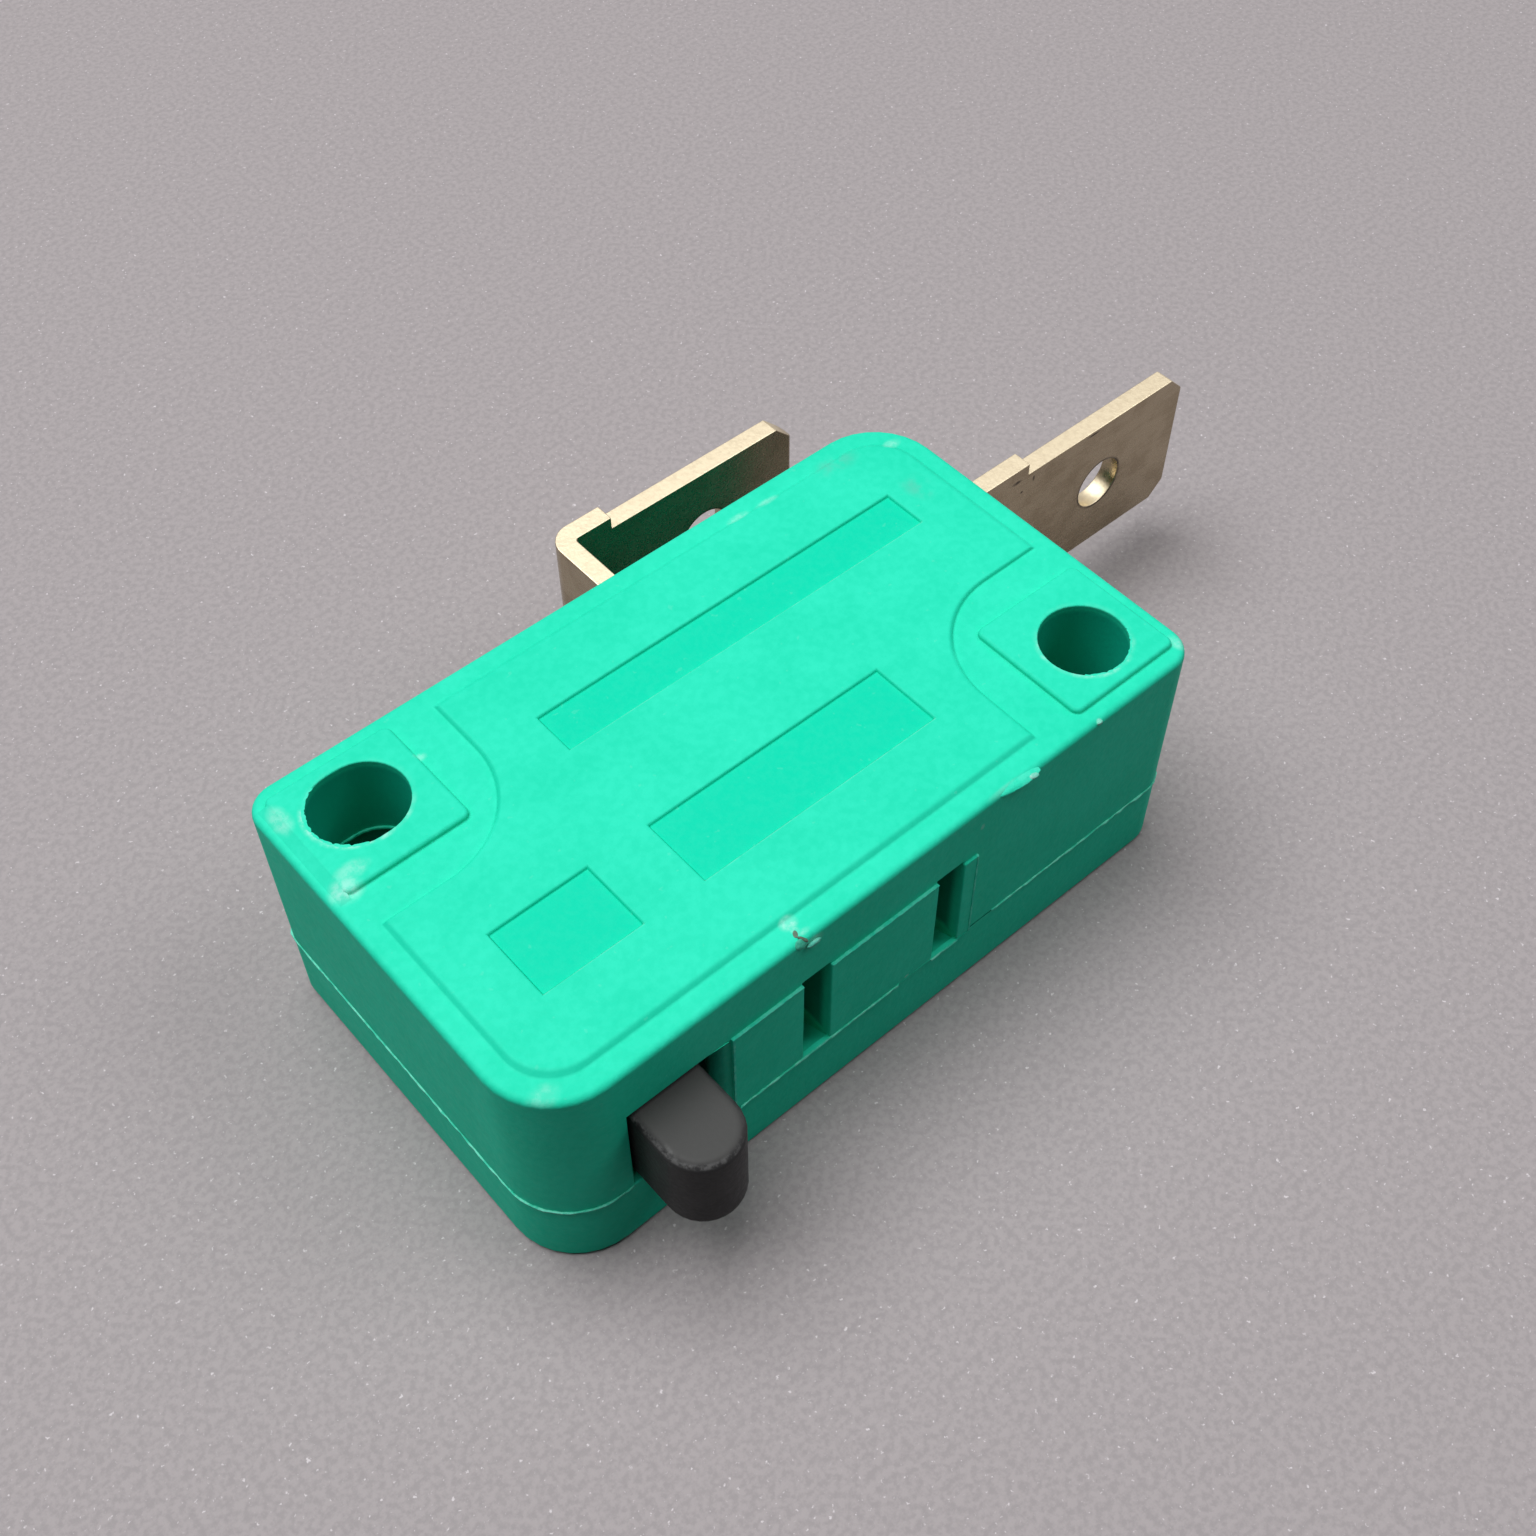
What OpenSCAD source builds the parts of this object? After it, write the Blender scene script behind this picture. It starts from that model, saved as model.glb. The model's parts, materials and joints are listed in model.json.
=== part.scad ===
// Snap-action micro switch, single pole, normally open.
// It lies on its cover. X runs along the body from the plunger end to the end tab, Y from the plunger
// face to the face with the bent tab, and Z up through the thickness. The origin is the middle of the
// underside.

/* [Body] */
// Length of the body
body_l = 27.8; // [27:0.1:30]
// Width of the body, from the plunger face to the back face
body_w = 15.7; // [15.3:0.1:17]
// Thickness of the body over the hole pads
body_t = 10.3; // [10:0.1:12]
// Height of the joint between the cover and the case
parting_z = 3.2; // [2.8:0.1:3.4]
// Thickness of the side walls
wall = 1.4; // [1.2:0.1:1.6]
// Thickness of the case roof below the rim
roof_t = 1.2; // [0.8:0.1:1.5]
// Thickness of the cover floor
floor_t = 1.4; // [0.8:0.1:1.6]
// Radius of the two body corners that have no mounting hole
corner_r = 2.6; // [1:0.1:3]
// Radius of the two body corners beside the mounting holes
hole_corner_r = 1.1; // [0.3:0.1:1.5]
// Radius of the outer edges
edge_r = 0.25; // [0.1:0.05:0.4]
// Radius of the edges along the joint between cover and case
parting_r = 0.06; // [0.02:0.02:0.1]

/* [Mounting holes] */
// Distance between the holes along the body
hole_pitch_x = 22.2; // [21.6:0.1:22.4]
// Distance between the holes across the body
hole_pitch_y = 10.3; // [9.8:0.1:10.6]
// Diameter of the holes
hole_d = 3.1; // [2.5:0.1:3.3]
// How much longer the hole at the plunger end is than it is wide
hole_slot = 0.35; // [0.1:0.05:0.4]
// Diameter of the boss round each hole
boss_d = 5.6; // [5.2:0.1:5.8]
// Diameter of the locating spigot on each cover boss
spigot_d = 4.5; // [4.2:0.1:4.8]
// Height of the locating spigots
spigot_h = 0.6; // [0.3:0.1:1]

/* [Top face] */
// Side of the raised pad round each hole
pad_side = 4.75; // [4.2:0.05:5]
// Height of the hole pads above the rim
pad_rise = 0.2; // [0.1:0.05:0.4]
// How far the pad's middle lies inwards of its hole, along the body
pad_shift_x = 0.12; // [0:0.01:0.3]
// How far the pad's middle lies inwards of its hole, across the body
pad_shift_y = 0.3; // [0:0.01:0.4]
// Corner radius of the pads
pad_r = 0.3; // [0.2:0.1:1]
// Width of the rim at the body ends
rim_x = 1; // [0.8:0.05:1.5]
// Width of the rim along the body sides
rim_y = 1.05; // [0.8:0.05:1.6]
// Height of the centre panel above the rim
panel_rise = 0.14; // [0.05:0.01:0.15]
// Corner radius of the centre panel
panel_r = 1.7; // [0.5:0.1:2]
// Distance from each hole to the sides of the panel's notch round it
notch_side = 4.22; // [4:0.02:4.5]
// Corner radius of the panel's notches
notch_r = 3.6; // [3:0.1:4]
// Depth of the three bare label boxes
label_depth = 0.12; // [0.04:0.01:0.15]
// Width of the long label box
label_long_w = 1.72; // [1.2:0.02:2]
// Width of the middle label box
label_mid_w = 2.74; // [2:0.02:3]
// Length of the middle label box
label_mid_l = 9.72; // [8:0.02:11]
// Length of the small label box
label_small_l = 3.76; // [3:0.02:4]
// Distance from the panel's notch to the long and middle boxes
label_gap_notch = 2.16; // [1.5:0.01:2.5]
// Distance from the panel's end to the long and small boxes
label_gap_end = 2; // [1.5:0.05:2.5]
// Distance from the panel's sides to the boxes
label_gap_side = 2.55; // [2:0.05:3]

/* [Plunger] */
// Distance from the body end to the middle of the plunger
plunger_in = 4.6; // [4.5:0.1:4.8]
// Width of the plunger along the body
plunger_w = 2.8; // [2.4:0.1:3]
// Height of the plunger through the thickness
plunger_h = 3.8; // [3.6:0.1:4]
// How far the plunger stands out of the body
plunger_reach = 2.95; // [2.5:0.05:3.5]
// How far the plunger can be pushed in
plunger_travel = 2; // [1.5:0.1:2]
// Radius of the plunger's long edges
plunger_edge_r = 0.35; // [0.1:0.05:0.5]
// Gap between the plunger and the near side of its opening
plunger_gap = 0.12; // [0.08:0.01:0.2]
// Spare width of the opening on the far side of the plunger
opening_spare = 0.5; // [0.4:0.1:1.2]
// Radius of the opening's outer edge on the far side of the plunger
opening_round = 0.6; // [0.2:0.1:0.8]
// Gap above the plunger in its opening
opening_head = 0.2; // [0.1:0.05:0.4]
// Gap below the plunger in its opening
opening_foot = 0.4; // [0.1:0.05:0.5]
// How far the plunger's flange overlaps the wall beside the opening
flange_lap = 0.5; // [0.3:0.05:0.5]
// Thickness of the plunger's flange
flange_t = 1; // [0.6:0.1:1.2]
// Width of the plunger's foot
foot_w = 1.6; // [1.2:0.1:1.8]

/* [Lever slots] */
// Distance from the body end to the first slot's middle
slot_in = 10.6; // [10.2:0.1:10.8]
// Distance between the two slots
slot_pitch = 5.8; // [5:0.1:6.2]
// Width of the slots
slot_w = 1.15; // [0.8:0.05:1.4]
// Height of the slots above the joint
slot_h = 4.5; // [3:0.1:5]
// Depth of the slots into the wall
slot_depth = 1.6; // [1:0.1:1.8]
// Thickness of the wall behind and beside a slot
slot_wall = 0.7; // [0.5:0.05:0.8]
// Angle at which the cover's edge falls away inwards under the slots
slot_ramp = 25; // [15:1:30]
// Height of the raised land that joins the opening and the slots
land_h = 4.42; // [3:0.02:5]
// How far the land stands out of the plunger face
land_rise = 0.1; // [0.02:0.01:0.1]
// Width of the land past the second slot
land_over = 0.6; // [0.4:0.05:1]

/* [Terminals] */
// Thickness of the terminal strip
tab_t = 0.8; // [0.6:0.05:0.8]
// Width of the tabs
tab_w = 6.3; // [4.8:0.05:6.4]
// Length of the tabs from the shoulder to the tip
tab_l = 8.85; // [7:0.05:10]
// Size of the chamfers on the tab tip
tab_chamfer = 0.87; // [0.4:0.01:1.2]
// Size of the bevel across the thickness of the tab tip
tab_bevel = 0.2; // [0.1:0.05:0.3]
// Diameter of the hole in the tabs
tab_hole_d = 2.2; // [1.6:0.1:2.4]
// Distance from the tab tip to its hole
tab_hole_in = 4.5; // [3.5:0.1:5]
// Inner radius of the strip's bends
bend_r = 0.15; // [0.1:0.05:0.2]
// Distance from the back face to the middle of the end tab
end_tab_in = 4.5; // [4.4:0.1:4.6]
// Distance from the body end to the end tab's shoulder
end_shoulder = 3.15; // [2:0.05:4]
// How far the end terminal reaches past the inside of the end wall
end_inner_l = 5.1; // [4.9:0.1:5.4]
// Distance from the body's plunger end to the middle of the bent terminal's leg
com_in = 15.4; // [15:0.1:16]
// Distance from the back face to the middle of the bent tab
com_reach = 3.58; // [3:0.01:5]
// Distance from the leg's outer face to the bent tab's shoulder
com_shoulder = 2.45; // [2:0.05:3]
// Distance from the leg's middle to the middle of the two prongs
com_bar_l = 7.8; // [7.6:0.1:8]

/* [Snap mechanism] */
// Thickness of the contact arm
arm_t = 0.4; // [0.3:0.05:0.45]
// Width of the contact arm
arm_w = 4.2; // [3.8:0.1:4.4]
// Width of the slot between the arm's two legs, in which the spring lies
arm_slot_w = 1.9; // [1.8:0.05:2.2]
// Distance from the bar of the bent terminal to the middle of the arm
arm_rise = 1.35; // [1.3:0.05:1.6]
// Distance from the arm's pivot to the bridge that holds the spring
arm_bridge = 9.6; // [9:0.1:10]
// Gap between the contacts at rest
contact_gap = 0.8; // [0.5:0.05:1]
// Diameter of the contact heads
contact_d = 2.8; // [2.2:0.1:3]
// Height of the contact heads
contact_h = 0.65; // [0.5:0.05:0.7]
// Radius of the contact domes
contact_dome_r = 6; // [4:0.5:10]
// Diameter of the contact shanks
shank_d = 1.4; // [1:0.1:1.6]
// Height of the riveted shank ends
rivet_h = 0.4; // [0.3:0.05:0.45]
// Diameter of the riveted shank ends
rivet_d = 2.1; // [1.8:0.1:2.4]
// Thickness of the drive lever
lever_t = 0.4; // [0.3:0.05:0.45]
// Length of the drive lever's plate under the plunger
lever_plate_l = 3; // [2.6:0.1:3.2]
// Distance from the middle of the plunger to the lever's pivot
lever_arm = 8.4; // [8.2:0.1:8.6]
// Height of the lever's plate above its pivot
lever_rise = 4.1; // [4:0.05:4.2]
// Distance from the middle of the plunger to the lever's spring tail
tail_in = 0.7; // [0.6:0.05:0.8]
// Distance from the lever's plate to the spring hook on its tail
tail_l = 1.85; // [1.6:0.05:2]
// Diameter of the spring wire
wire_d = 0.26; // [0.2:0.02:0.3]
// Mean diameter of the spring coil
coil_d = 1.2; // [1:0.05:1.3]
// Number of turns of the spring
coil_turns = 15; // [10:1:17]
// Length of the spring coil
coil_l = 6.6; // [6:0.1:7]
// Mean radius of the spring's end loops
loop_r = 0.55; // [0.5:0.01:0.6]
// Width of the strips that the spring's end loops hang on
strip_w = 0.5; // [0.4:0.05:0.5]
// Width of the lever's tail
tail_w = 1.4; // [1.2:0.1:1.8]

/* [Clearances] */
// Gap round a piece that is seated in a slot or between faces
seat_gap = 0.05; // [0.02:0.01:0.08]
// Gap round a pivot
pivot_gap = 0.07; // [0.04:0.01:0.1]
// Gap between pieces that push on each other
touch_gap = 0.05; // [0.03:0.01:0.08]
// Gap between the plunger and the faces that it slides along
slide_gap = 0.1; // [0.05:0.01:0.15]
// Gap round the spring's end loops in their eyes
eye_gap = 0.2; // [0.1:0.02:0.24]

/* [Hidden] */
$fn = 64;
hull_fn = 32;
edge_steps = 4;
cut = 0.5;

half_l = body_l / 2;
half_w = body_w / 2;
rim_z = body_t - pad_rise;
roof_z = rim_z - roof_t;
chamber_h = roof_z - floor_t;
mid_z = floor_t + chamber_h / 2;
inner_l = body_l - 2 * wall;
inner_w = body_w - 2 * wall;
inner_corner_r = max(corner_r - wall, hole_corner_r);
hole_x = hole_pitch_x / 2;
hole_y = hole_pitch_y / 2;

// Plunger and its opening
plunger_x = plunger_in - half_l;
plunger_z = parting_z + opening_foot;
nose_y = -half_w - plunger_reach;
nose_r = plunger_w / 2;
opening_x0 = plunger_x - plunger_w / 2 - plunger_gap;
opening_x1 = plunger_x + plunger_w / 2 + opening_spare;
opening_z1 = plunger_z + plunger_h + opening_head;
land_x0 = opening_x1 + opening_round;
flange_y = -inner_w / 2 + slide_gap;
flange_x0 = opening_x0 - flange_lap;
flange_x1 = opening_x1 + flange_lap;
rail_w = 0.7;
rib_w = 1.1;

// Terminals
base_w = chamber_h - 2 * seat_gap;
end_tab_y = half_w - end_tab_in;
end_inner_x = inner_l / 2 - end_inner_l;
com_x = com_in - half_l;
com_tab_y = half_w + com_reach;
prong_x = com_x - com_bar_l;

// Contact arm: its pivot is the middle of the groove in the prongs
contact_x = end_inner_x + contact_d / 2 + 2 * seat_gap;
fixed_face_y = end_tab_y - tab_t / 2 - contact_h;
arm_x = prong_x + tab_t / 2;
arm_y = fixed_face_y - contact_gap - contact_h - arm_t / 2;
arm_end = contact_x + contact_d / 2 - seat_gap;
bridge_x = arm_x + arm_bridge;
bar_y = arm_y + arm_rise + tab_t / 2;
prong_over = 0.5;
prong_top = arm_y - arm_t / 2 - pivot_gap - prong_over;
stop_y = arm_y - arm_t / 2 - rivet_h - touch_gap;

// Drive lever: its pivot lies in a notch of the terminal's bar
pivot_r = lever_t / 2;
pivot_notch = 0.15;
pivot_x = plunger_x + lever_arm;
pivot_y = bar_y - tab_t / 2 + pivot_notch - pivot_r - pivot_gap / 2;
plate_y = pivot_y - lever_rise - lever_t / 2;
lever_in = arm_w / 2 + lever_t;
tail_x = plunger_x + tail_in;
hook_y = plate_y + lever_t / 2 + tail_l;
leg_depth = 1.2;
notch_l = 1.2;

// Eyes for the spring's end loops, in the arm and in the lever's tail
eye_l = loop_r - strip_w / 2 + wire_d / 2 + eye_gap;
eye_w = wire_d + 2 * eye_gap;

// Spring: it runs from the lever's tail to the bridge of the arm
spring_dx = bridge_x - tail_x;
spring_dy = arm_y - hook_y;
spring_l = sqrt(spring_dx * spring_dx + spring_dy * spring_dy);
spring_turn = atan2(spring_dy, spring_dx);
coil_start = (spring_l - coil_l) / 2;
wire_fn = 6;
wire_step = 30;
loop_steps = 10;

// Rectangle with two corners of one radius and two of another
module two_radius_plan(l, w, r_a, r_b) {
    difference() {
        square([l, w], center = true);
        for (s = [-1, 1]) {
            corner_cut(s * l / 2, s * w / 2, r_a);
            corner_cut(-s * l / 2, s * w / 2, r_b);
        }
    }
}

// What a corner rounded to r loses, at the corner x, y of a shape round the origin
module corner_cut(x, y, r) {
    side = r + cut;
    translate([x - sign(x) * r, y - sign(y) * r])
        difference() {
            translate([sign(x) * side / 2, sign(y) * side / 2])
                square(side, center = true);
            circle(r);
        }
}

// Turned corner of the body, with rounded lower and upper edges
module corner_post(r, z0, z1, r0, r1) {
    low = min(r0, r);
    high = min(r1, r);
    steps = [for (i = [0:edge_steps]) 90 * i / edge_steps];
    rotate_extrude($fn = hull_fn)
        polygon(concat(
            [[0, z0]],
            [for (a = steps) [r - low + low * sin(a), z0 + low - low * cos(a)]],
            [for (a = steps) [r - high + high * cos(a), z1 - high + high * sin(a)]],
            [[0, z1]]));
}

// Outer block of the case or the cover
module body_block(z0, z1, r0, r1) {
    hull()
        for (sx = [-1, 1], sy = [-1, 1]) {
            r = sx == sy ? corner_r : hole_corner_r;
            translate([sx * (half_l - r), sy * (half_w - r), 0])
                corner_post(r, z0, z1, r0, r1);
        }
}

// Copies a child to both mounting holes
module at_holes() {
    for (s = [-1, 1])
        translate([s * hole_x, -s * hole_y])
            rotate(s > 0 ? 0 : 180)
                children();
}

// Through holes: round at the end tab, slightly long at the plunger end
module mounting_holes() {
    depth = body_t + 2 * cut;
    translate([hole_x, -hole_y, -cut])
        cylinder(h = depth, d = hole_d);
    for (s = [-1, 1])
        translate([-hole_x + s * hole_slot / 2, hole_y, -cut])
            cylinder(h = depth, d = hole_d);
    translate([-hole_x - hole_slot / 2, hole_y - hole_d / 2, -cut])
        cube([hole_slot, hole_d, depth]);
}

// Plan of the chamber inside the walls, less the bosses round the holes
module chamber_plan() {
    difference() {
        two_radius_plan(inner_l, inner_w, inner_corner_r, hole_corner_r);
        at_holes() {
            circle(d = boss_d);
            translate([0, -half_w])
                square([half_l, half_w]);
        }
    }
}

// Ribs of the case: plunger rails, slot backs, the arm's stop, and the supports of the terminals
module rib_plan() {
    inner_y = inner_w / 2;
    rail_l = flange_t + plunger_travel + 2 * slide_gap;
    translate([-inner_l / 2, -inner_y])
        square([flange_x0 - slide_gap + inner_l / 2, rail_l]);
    translate([flange_x1 + slide_gap, -inner_y])
        square([rail_w, rail_l]);
    back_y = -half_w + slot_depth + slot_wall;
    for (i = [0, 1])
        translate([slot_in - half_l + i * slot_pitch, (back_y - inner_y) / 2])
            square([slot_w + 2 * slot_wall, back_y + inner_y], center = true);
    translate([contact_x - rivet_d / 2, -inner_y])
        square([rivet_d, stop_y + inner_y]);
    bar_rib_y = bar_y + tab_t / 2 + seat_gap;
    translate([prong_x + 2 * rib_w, bar_rib_y])
        square([rib_w, inner_y - bar_rib_y]);
    end_rib_y = end_tab_y + tab_t / 2 + seat_gap;
    translate([contact_x + rivet_d / 2 + seat_gap, end_rib_y])
        square([rib_w, inner_y - end_rib_y]);
}

// Slots that the two terminals pass through, from the cover floor to the roof
module terminal_slots() {
    slot_t = tab_t + 2 * seat_gap;
    translate([half_l - wall - cut, end_tab_y - slot_t / 2, floor_t])
        cube([wall + 2 * cut, slot_t, chamber_h]);
    translate([com_x - slot_t / 2, half_w - wall - cut, floor_t])
        cube([slot_t, wall + 2 * cut, chamber_h]);
}

// Centre panel with its notches round the holes
module panel_plan() {
    difference() {
        two_radius_plan(body_l - 2 * rim_x, body_w - 2 * rim_y, panel_r, hole_corner_r);
        at_holes()
            difference() {
                translate([-notch_side, -half_w])
                    square([notch_side + half_l, half_w + notch_side]);
                corner_cut(-notch_side, notch_side, notch_r);
            }
    }
}

// The three bare label boxes, lined up with the panel's sides and notches
module label_plan() {
    panel_x = half_l - rim_x;
    panel_y = half_w - rim_y;
    long_x = -hole_x + notch_side + label_gap_notch;
    translate([long_x, panel_y - label_gap_side - label_long_w])
        square([panel_x - label_gap_end - long_x, label_long_w]);
    translate([long_x, -panel_y + label_gap_side])
        square([label_mid_l, label_mid_w]);
    translate([-panel_x + label_gap_end, -panel_y + label_gap_side])
        square([label_small_l, label_mid_w]);
}

// Raised pad round each hole
module pad_plan() {
    at_holes()
        translate([-pad_shift_x, pad_shift_y])
            two_radius_plan(pad_side, pad_side, pad_r, pad_r);
}

// Deep half of the housing: its roof is uppermost and its open side lies on the cover
module case() {
    opening_w = opening_x1 - opening_x0;
    land_x1 = slot_in - half_l + slot_pitch + slot_w / 2 + land_over;
    color("mediumseagreen")
        difference() {
            union() {
                body_block(parting_z, rim_z, parting_r, edge_r);
                translate([0, 0, rim_z - cut])
                    linear_extrude(cut + panel_rise)
                        panel_plan();
                translate([0, 0, rim_z - cut])
                    linear_extrude(cut + pad_rise)
                        pad_plan();
                translate([land_x0, -half_w - land_rise, parting_z + parting_r])
                    cube([land_x1 - land_x0, land_rise + cut, land_h - parting_r]);
            }
            translate([0, 0, parting_z - cut])
                linear_extrude(roof_z - parting_z + cut)
                    difference() {
                        chamber_plan();
                        rib_plan();
                    }
            mounting_holes();
            at_holes()
                translate([0, 0, parting_z - cut])
                    cylinder(h = spigot_h + seat_gap + cut, d = spigot_d + 2 * seat_gap);
            translate([opening_x0, -half_w - cut, parting_z - cut])
                cube([opening_w, wall + 2 * cut, opening_z1 - parting_z + cut]);
            translate([0, 0, parting_z - cut])
                linear_extrude(opening_z1 - parting_z + cut)
                    corner_cut(opening_x1, -half_w, opening_round);
            for (i = [0, 1])
                translate([slot_in - half_l + i * slot_pitch - slot_w / 2, -half_w - cut, parting_z - cut])
                    cube([slot_w, slot_depth + cut, slot_h + cut]);
            terminal_slots();
            translate([0, 0, rim_z + panel_rise - label_depth])
                linear_extrude(label_depth + cut)
                    label_plan();
        }
}

// Shallow half of the housing, with a locating spigot round each hole
module cover() {
    color("mediumseagreen")
        difference() {
            union() {
                difference() {
                    body_block(0, parting_z, edge_r, parting_r);
                    translate([0, 0, floor_t])
                        linear_extrude(parting_z - floor_t + cut)
                            chamber_plan();
                }
                at_holes()
                    translate([0, 0, parting_z - cut])
                        cylinder(h = spigot_h + cut, d = spigot_d);
            }
            mounting_holes();
            terminal_slots();
            for (i = [0, 1])
                translate([slot_in - half_l + i * slot_pitch - slot_w / 2, -half_w, parting_z])
                    rotate([-slot_ramp, 0, 0])
                        cube([slot_w, 2 * slot_depth, slot_depth]);
        }
}

// Plan of the plunger's round nose, from the flange to the tip
module nose_plan(inset) {
    r = nose_r - inset;
    translate([plunger_x, nose_y + nose_r])
        circle(r, $fn = hull_fn);
    translate([plunger_x - r, nose_y + nose_r])
        square([2 * r, flange_y - nose_y - nose_r]);
}

// Push button: nose, flange that keeps it in, and foot that pushes the lever
module plunger() {
    foot_y = plate_y - lever_t / 2 - touch_gap;
    steps = [for (i = [0:edge_steps]) 90 * i / edge_steps];
    color("dimgray") {
        hull()
            for (a = steps) {
                inset = plunger_edge_r * (1 - sin(a));
                drop = plunger_edge_r * (1 - cos(a));
                translate([0, 0, plunger_z + drop])
                    linear_extrude(plunger_h - 2 * drop)
                        nose_plan(inset);
            }
        translate([flange_x0, flange_y, plunger_z])
            cube([flange_x1 - flange_x0, flange_t, plunger_h]);
        translate([plunger_x - foot_w / 2, flange_y, plunger_z])
            cube([foot_w, foot_y - foot_w / 2 - flange_y, plunger_h]);
        translate([plunger_x, foot_y - foot_w / 2, plunger_z])
            cylinder(h = plunger_h, d = foot_w);
    }
}

// Blade of a terminal in the XZ plane: a wide base to the shoulder, then the tab with its chamfered tip
module blade(base_l, y) {
    tip = base_l + tab_l;
    b = base_w / 2;
    w = tab_w / 2;
    c = tab_chamfer;
    translate([0, y + tab_t / 2, mid_z])
        rotate([90, 0, 0])
            difference() {
                linear_extrude(tab_t)
                    polygon([[0, -b], [base_l, -b], [base_l, -w], [tip - c, -w], [tip, c - w],
                             [tip, w - c], [tip - c, w], [base_l, w], [base_l, b], [0, b]]);
                translate([tip - tab_hole_in, 0, -cut])
                    cylinder(h = tab_t + 2 * cut, d = tab_hole_d);
                for (s = [0, 1])
                    translate([tip, 0, s * tab_t])
                        rotate([0, 45, 0])
                            cube([tab_bevel * sqrt(2), 2 * tab_w, tab_bevel * sqrt(2)], center = true);
            }
}

// Straight terminal at the body's end, which carries the fixed contact
module end_terminal() {
    base_l = half_l + end_shoulder - end_inner_x;
    color("tan")
        difference() {
            translate([end_inner_x, 0, 0])
                blade(base_l, end_tab_y);
            translate([contact_x, end_tab_y, mid_z])
                rotate([90, 0, 0])
                    cylinder(h = tab_t + 2 * cut, d = shank_d + seat_gap, center = true);
        }
}

// Riveted contact with a domed head that faces along -Y from the face y = 0 of a plate of thickness t
module contact_rivet(t) {
    rotate([90, 0, 0]) {
        intersection() {
            cylinder(h = contact_h, d = contact_d);
            translate([0, 0, contact_h - contact_dome_r])
                sphere(contact_dome_r, $fn = 96);
        }
        translate([0, 0, -t - rivet_h])
            cylinder(h = t + rivet_h + contact_h / 2, d = shank_d);
        translate([0, 0, -t - rivet_h])
            cylinder(h = rivet_h, d = rivet_d);
    }
}

// Contact on the end terminal
module fixed_contact() {
    color("silver")
        translate([contact_x, end_tab_y - tab_t / 2, mid_z])
            contact_rivet(tab_t);
}

// Quarter of a bend of the strip round x, y, on the side sx, sy of its middle
module bend_plan(x, y, sx, sy) {
    r = bend_r + tab_t;
    translate([x, y])
        intersection() {
            difference() {
                circle(r);
                circle(bend_r);
            }
            translate([sx * r / 2, sy * r / 2])
                square(r, center = true);
        }
}

// Plan of the bent terminal, from the prongs along the bar and out along the leg to the bent tab
module com_plan() {
    t = tab_t / 2;
    tab_bend_x = com_x + t + bend_r;
    tab_bend_y = com_tab_y - t - bend_r;
    leg_bend_x = com_x - t - bend_r;
    leg_bend_y = bar_y + t + bend_r;
    prong_bend_x = prong_x + t + bend_r;
    prong_bend_y = bar_y - t - bend_r;
    bend_plan(tab_bend_x, tab_bend_y, -1, 1);
    translate([com_x - t, leg_bend_y])
        square([tab_t, tab_bend_y - leg_bend_y]);
    bend_plan(leg_bend_x, leg_bend_y, 1, -1);
    translate([prong_bend_x, bar_y - t])
        square([leg_bend_x - prong_bend_x, tab_t]);
    bend_plan(prong_bend_x, prong_bend_y, -1, 1);
    translate([prong_x - t, prong_top])
        square([tab_t, prong_bend_y - prong_top]);
}

// Common terminal: bent tab outside, bar and two grooved prongs inside
module com_terminal() {
    t = tab_t / 2;
    prong_trim = bar_y - t;
    groove_r = arm_t / 2 + pivot_gap;
    leg_z = lever_in + lever_t / 2;
    color("tan")
        difference() {
            union() {
                translate([0, 0, mid_z - base_w / 2])
                    linear_extrude(base_w)
                        com_plan();
                translate([com_x + t + bend_r, 0, 0])
                    blade(com_shoulder - tab_t - bend_r, com_tab_y);
            }
            for (s = [-1, 1]) {
                side_z = mid_z + s * (arm_w + base_w) / 2;
                translate([prong_x - tab_t, prong_top - cut, side_z - base_w / 2])
                    cube([2 * tab_t + bend_r, prong_trim - prong_top + cut, base_w]);
                translate([pivot_x - notch_l, bar_y - t - cut, mid_z + s * leg_z - lever_t / 2 - seat_gap])
                    cube([notch_l + pivot_r + pivot_gap, cut + pivot_notch, lever_t + 2 * seat_gap]);
            }
            translate([prong_x - tab_t, prong_top - cut, mid_z - arm_slot_w / 2])
                cube([2 * tab_t + bend_r, prong_trim - prong_top + cut, arm_slot_w]);
            translate([arm_x, arm_y, mid_z])
                cylinder(h = arm_w + 2 * cut, r = groove_r, center = true);
        }
}

// Moving arm: two legs with round ends in the prongs' grooves, a bridge for the spring and a contact seat
module contact_arm() {
    color("darkgoldenrod")
        difference() {
            union() {
                translate([arm_x, arm_y - arm_t / 2, mid_z - arm_w / 2])
                    cube([arm_end - arm_x, arm_t, arm_w]);
                translate([arm_x, arm_y, mid_z - arm_w / 2])
                    cylinder(h = arm_w, d = arm_t);
            }
            translate([arm_x - cut, arm_y - cut, mid_z - arm_slot_w / 2])
                cube([bridge_x - strip_w / 2 - arm_x + cut, 2 * cut, arm_slot_w]);
            translate([bridge_x + strip_w / 2, arm_y - cut, mid_z - eye_w / 2])
                cube([eye_l, 2 * cut, eye_w]);
            translate([contact_x, arm_y, mid_z])
                rotate([90, 0, 0])
                    cylinder(h = arm_t + 2 * cut, d = shank_d + seat_gap, center = true);
        }
}

// Contact on the moving arm, facing the fixed one
module moving_contact() {
    color("silver")
        translate([contact_x, arm_y + arm_t / 2, mid_z])
            mirror([0, 1, 0])
                contact_rivet(arm_t);
}

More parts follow.
